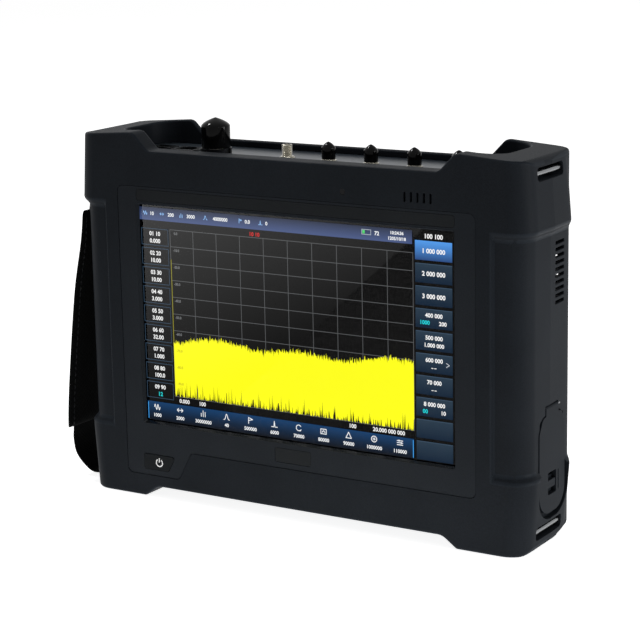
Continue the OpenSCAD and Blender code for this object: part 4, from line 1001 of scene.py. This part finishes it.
class ANALYSER_OT_inner_units(bpy.types.Operator):
    """Gives the CAD nodes that stay as they are their finishes"""
    bl_idname = "analyser.inner_units"
    bl_label = "Inner units and fittings"

    def execute(self, context):
        gold = context.scene.analyser_connectors.gold
        for nodes, name, maker, *values in (
                ("chassis_plate rf_module heat_sink", "bead_blasted_aluminium", coated_metal, linear("#a4a8ac"),
                 0.42, 1.0),
                ("chassis_screws door_pin stand_pins case_screws", "zinc_plated_steel", plated_metal,
                 linear("#7c7e80"), 0.3),
                ("strap_bars", "chromed_steel", plated_metal, linear("#7c7e80"), 0.2),
                ("power_switch speaker blower_housing blower_impeller battery_tray", "moulded_nylon_black",
                 moulded_plastic, linear("#1c1d1e"), 0.5),
                ("usb_socket lan_socket", "nickel_plated_steel", coated_metal, linear("#5c5e60"), 0.25, 1.0),
                ("battery_pack", "moulded_abs_battery", moulded_plastic, linear("#3a3c40"), 0.55),
                ("battery_contacts", "gold_plated_brass", plated_metal, gold, 0.24),
                ("main_board", "solder_mask_board", circuit_board),
                ("connector_plate", "satin_painted_steel", coated_metal, linear("#30373e"), 0.34, 0.5),
                ("light_sensor", "smoked_acrylic", glossy_vinyl, linear("#0c0d0f"), 0.1),
                ("lcd_module", "moulded_nylon_bezel", moulded_plastic, linear("#0c0d0e"), 0.5),
                ("touch_glass", "coated_touch_glass", display_glass)):
            for node in nodes.split():
                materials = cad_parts[node].data.materials
                materials.clear()
                materials.append(finish(name, maker, *values))
        return {"FINISHED"}


class ANALYSER_OT_stage(bpy.types.Operator):
    """Sets up the floor, the soft lights, the world and the camera"""
    bl_idname = "analyser.stage"
    bl_label = "Stage"

    def execute(self, context):
        values = context.scene.analyser_stage
        context.scene.view_settings.view_transform = "Standard"
        self.floor(values)
        self.world(context.scene)
        for lamp in LAMPS:
            self.lamp(*lamp)
        self.glare_card()
        self.camera(values, context.scene)
        return {"FINISHED"}

    def add_object(self, name, data):
        """Links a new object with its data into the scene."""
        made = bpy.data.objects.new(name, data)
        bpy.context.scene.collection.objects.link(made)
        return made

    def set_down(self, name, points, faces, material):
        """Adds a surface that belongs to the studio."""
        mesh = bpy.data.meshes.new(name)
        mesh.from_pydata(points, [], faces)
        mesh.materials.append(material)
        self.add_object(name, mesh)

    def glare_card(self):
        """Bright card on the floor in front and to the left, seen only by way of the touch glass: its
        slanted edge crosses the display's mirror image. It is stronger towards the left."""
        corners = [(-0.147, -0.15), (-0.399, -0.95), (-1.1, -0.95), (-0.5, -0.15)]
        made, tree, _, place = new_material("glare_card")
        x = add_node(tree, "SeparateXYZ", {"Vector": place}).outputs["X"]
        glow = add_node(tree, "Emission", {"Strength": ranged(tree, x, 1.0, 9.4, -0.208, -0.757)})
        show = add_node(tree, "MixShader", {0: add_node(tree, "LightPath").outputs["Is Transmission Ray"],
                                            1: add_node(tree, "BsdfTransparent").outputs["BSDF"],
                                            2: glow.outputs["Emission"]})
        fill(tree, tree.nodes["Material Output"], {"Surface": show.outputs["Shader"]})
        self.set_down("glare_card", [(x, y, 0.001) for x, y in corners], [[0, 3, 2, 1]], made)

    def seen(self, tree):
        """One for rays from the camera, off gloss and through glass, which see a white background."""
        path = add_node(tree, "LightPath").outputs
        mirrored = worked(tree, "MAXIMUM", path["Is Glossy Ray"], path["Is Transmission Ray"])
        return worked(tree, "MAXIMUM", path["Is Camera Ray"], mirrored)

    def patch(self, tree, place, centre, reach):
        """Round patch on the floor: one at its centre and nought at its reach."""
        moved = add_node(tree, "VectorMath", {0: place, 1: (*centre, 0)}, operation="SUBTRACT")
        sized = add_node(tree, "VectorMath", {0: moved.outputs["Vector"], "Scale": 1 / reach},
                         operation="SCALE")
        return add_node(tree, "TexGradient", {"Vector": sized.outputs["Vector"]},
                        gradient_type="SPHERICAL").outputs["Fac"]

    def floor(self, values):
        """Flat pale floor, painted plaster with a faint unevenness. It glows where it is seen, and close by
        it lights the object from below."""
        made, tree, shader, place = new_material("painted_floor")
        level = ranged(tree, noise(tree, place, 250), 0.985, 1.0, 0, 1)
        below = worked(tree, "MULTIPLY", self.patch(tree, place, (0.1, -0.06), 0.6), 2.1)
        glow = add_node(tree, "Mix", {"Factor": self.seen(tree), "A": below, "B": 0.88})
        fill(tree, shader, {"Base Color": tinted(tree, values.floor, level), "Roughness": 0.9,
                            "Specular IOR Level": 0.0, "Emission Strength": glow.outputs["Result"],
                            "Emission Color": (1, 1, 1, 1)})
        points = [(x, y, -0.0003) for y in (-4, 2, 8) for x in (-6, 0, 6)]
        self.set_down("floor", points, grid_faces(3, 3), made)

    def world(self, scene):
        """Even grey light that is seen as white."""
        scene.world = bpy.data.worlds.new("studio")
        scene.world.use_nodes = True
        tree = scene.world.node_tree
        tree.nodes.clear()
        strength = ranged(tree, self.seen(tree), 0.12, 1.0, 0, 1)
        glow = add_node(tree, "Background", {"Color": (1, 1, 1, 1), "Strength": strength})
        add_node(tree, "OutputWorld", {"Surface": glow.outputs["Background"]})

    def lamp(self, name, place, size, power):
        """Soft box that faces the object's middle."""
        light = bpy.data.lights.new(name, "AREA")
        light.shape, light.size, light.size_y, light.energy = "RECTANGLE", *size, power
        back = np.array(place) - (0, 0, AIM_HEIGHT)
        back = back / np.linalg.norm(back)
        side = np.cross((0, 0, 1.0), back)
        side /= np.linalg.norm(side)
        self.turn_to(self.add_object(name, light), place, [side, np.cross(back, side), back])

    def turn_to(self, made, place, axes):
        """Sets an object at a place, with its axes along three directions."""
        made.matrix_world = Matrix.Translation(place) @ Matrix(np.stack(axes, 1).tolist()).to_4x4()

    def camera(self, values, scene):
        """Camera at the photograph's angle: its axes follow from azimuth and elevation, turned by the roll."""
        a, e, r = values.azimuth, values.elevation, values.roll
        back = np.array([math.sin(a) * math.cos(e), -math.cos(a) * math.cos(e), math.sin(e)])
        right = np.array([math.cos(a), math.sin(a), 0])
        up = np.cross(back, right)
        lens = bpy.data.cameras.new("camera")
        lens.lens, lens.sensor_width, lens.clip_end = values.lens, 36, 50
        scene.camera = self.add_object("camera", lens)
        self.turn_to(scene.camera, values.place, [math.cos(r) * right - math.sin(r) * up,
                                                  math.sin(r) * right + math.cos(r) * up, back])


OPERATORS = (ANALYSER_OT_stage, ANALYSER_OT_case, ANALYSER_OT_front_panel, ANALYSER_OT_display,
             ANALYSER_OT_connectors, ANALYSER_OT_dust_caps, ANALYSER_OT_sockets, ANALYSER_OT_hand_strap,
             ANALYSER_OT_inner_units)


class ANALYSER_PT_pieces(bpy.types.Panel):
    """Lists the steps that dress the model"""
    bl_idname = "ANALYSER_PT_pieces"
    bl_label = "Analyser"
    bl_space_type = "VIEW_3D"
    bl_region_type = "UI"
    bl_category = "Analyser"

    def draw(self, context):
        for step in OPERATORS:
            self.layout.operator(step.bl_idname)
        for group in SETTINGS:
            box = self.layout.box()
            settings = getattr(context.scene, group)
            for name in settings.__annotations__:
                box.prop(settings, name)


def register():
    for group, kind in SETTINGS.items():
        bpy.utils.register_class(kind)
        setattr(bpy.types.Scene, group, PointerProperty(type=kind))
    for kind in (*OPERATORS, ANALYSER_PT_pieces):
        bpy.utils.register_class(kind)


def unregister():
    for kind in (ANALYSER_PT_pieces, *OPERATORS):
        bpy.utils.unregister_class(kind)
    for group, kind in SETTINGS.items():
        delattr(bpy.types.Scene, group)
        bpy.utils.unregister_class(kind)


def main():
    """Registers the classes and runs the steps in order."""
    register()
    for step in OPERATORS:
        group, name = step.bl_idname.split(".")
        getattr(getattr(bpy.ops, group), name)()


if __name__ == "__main__":
    main()
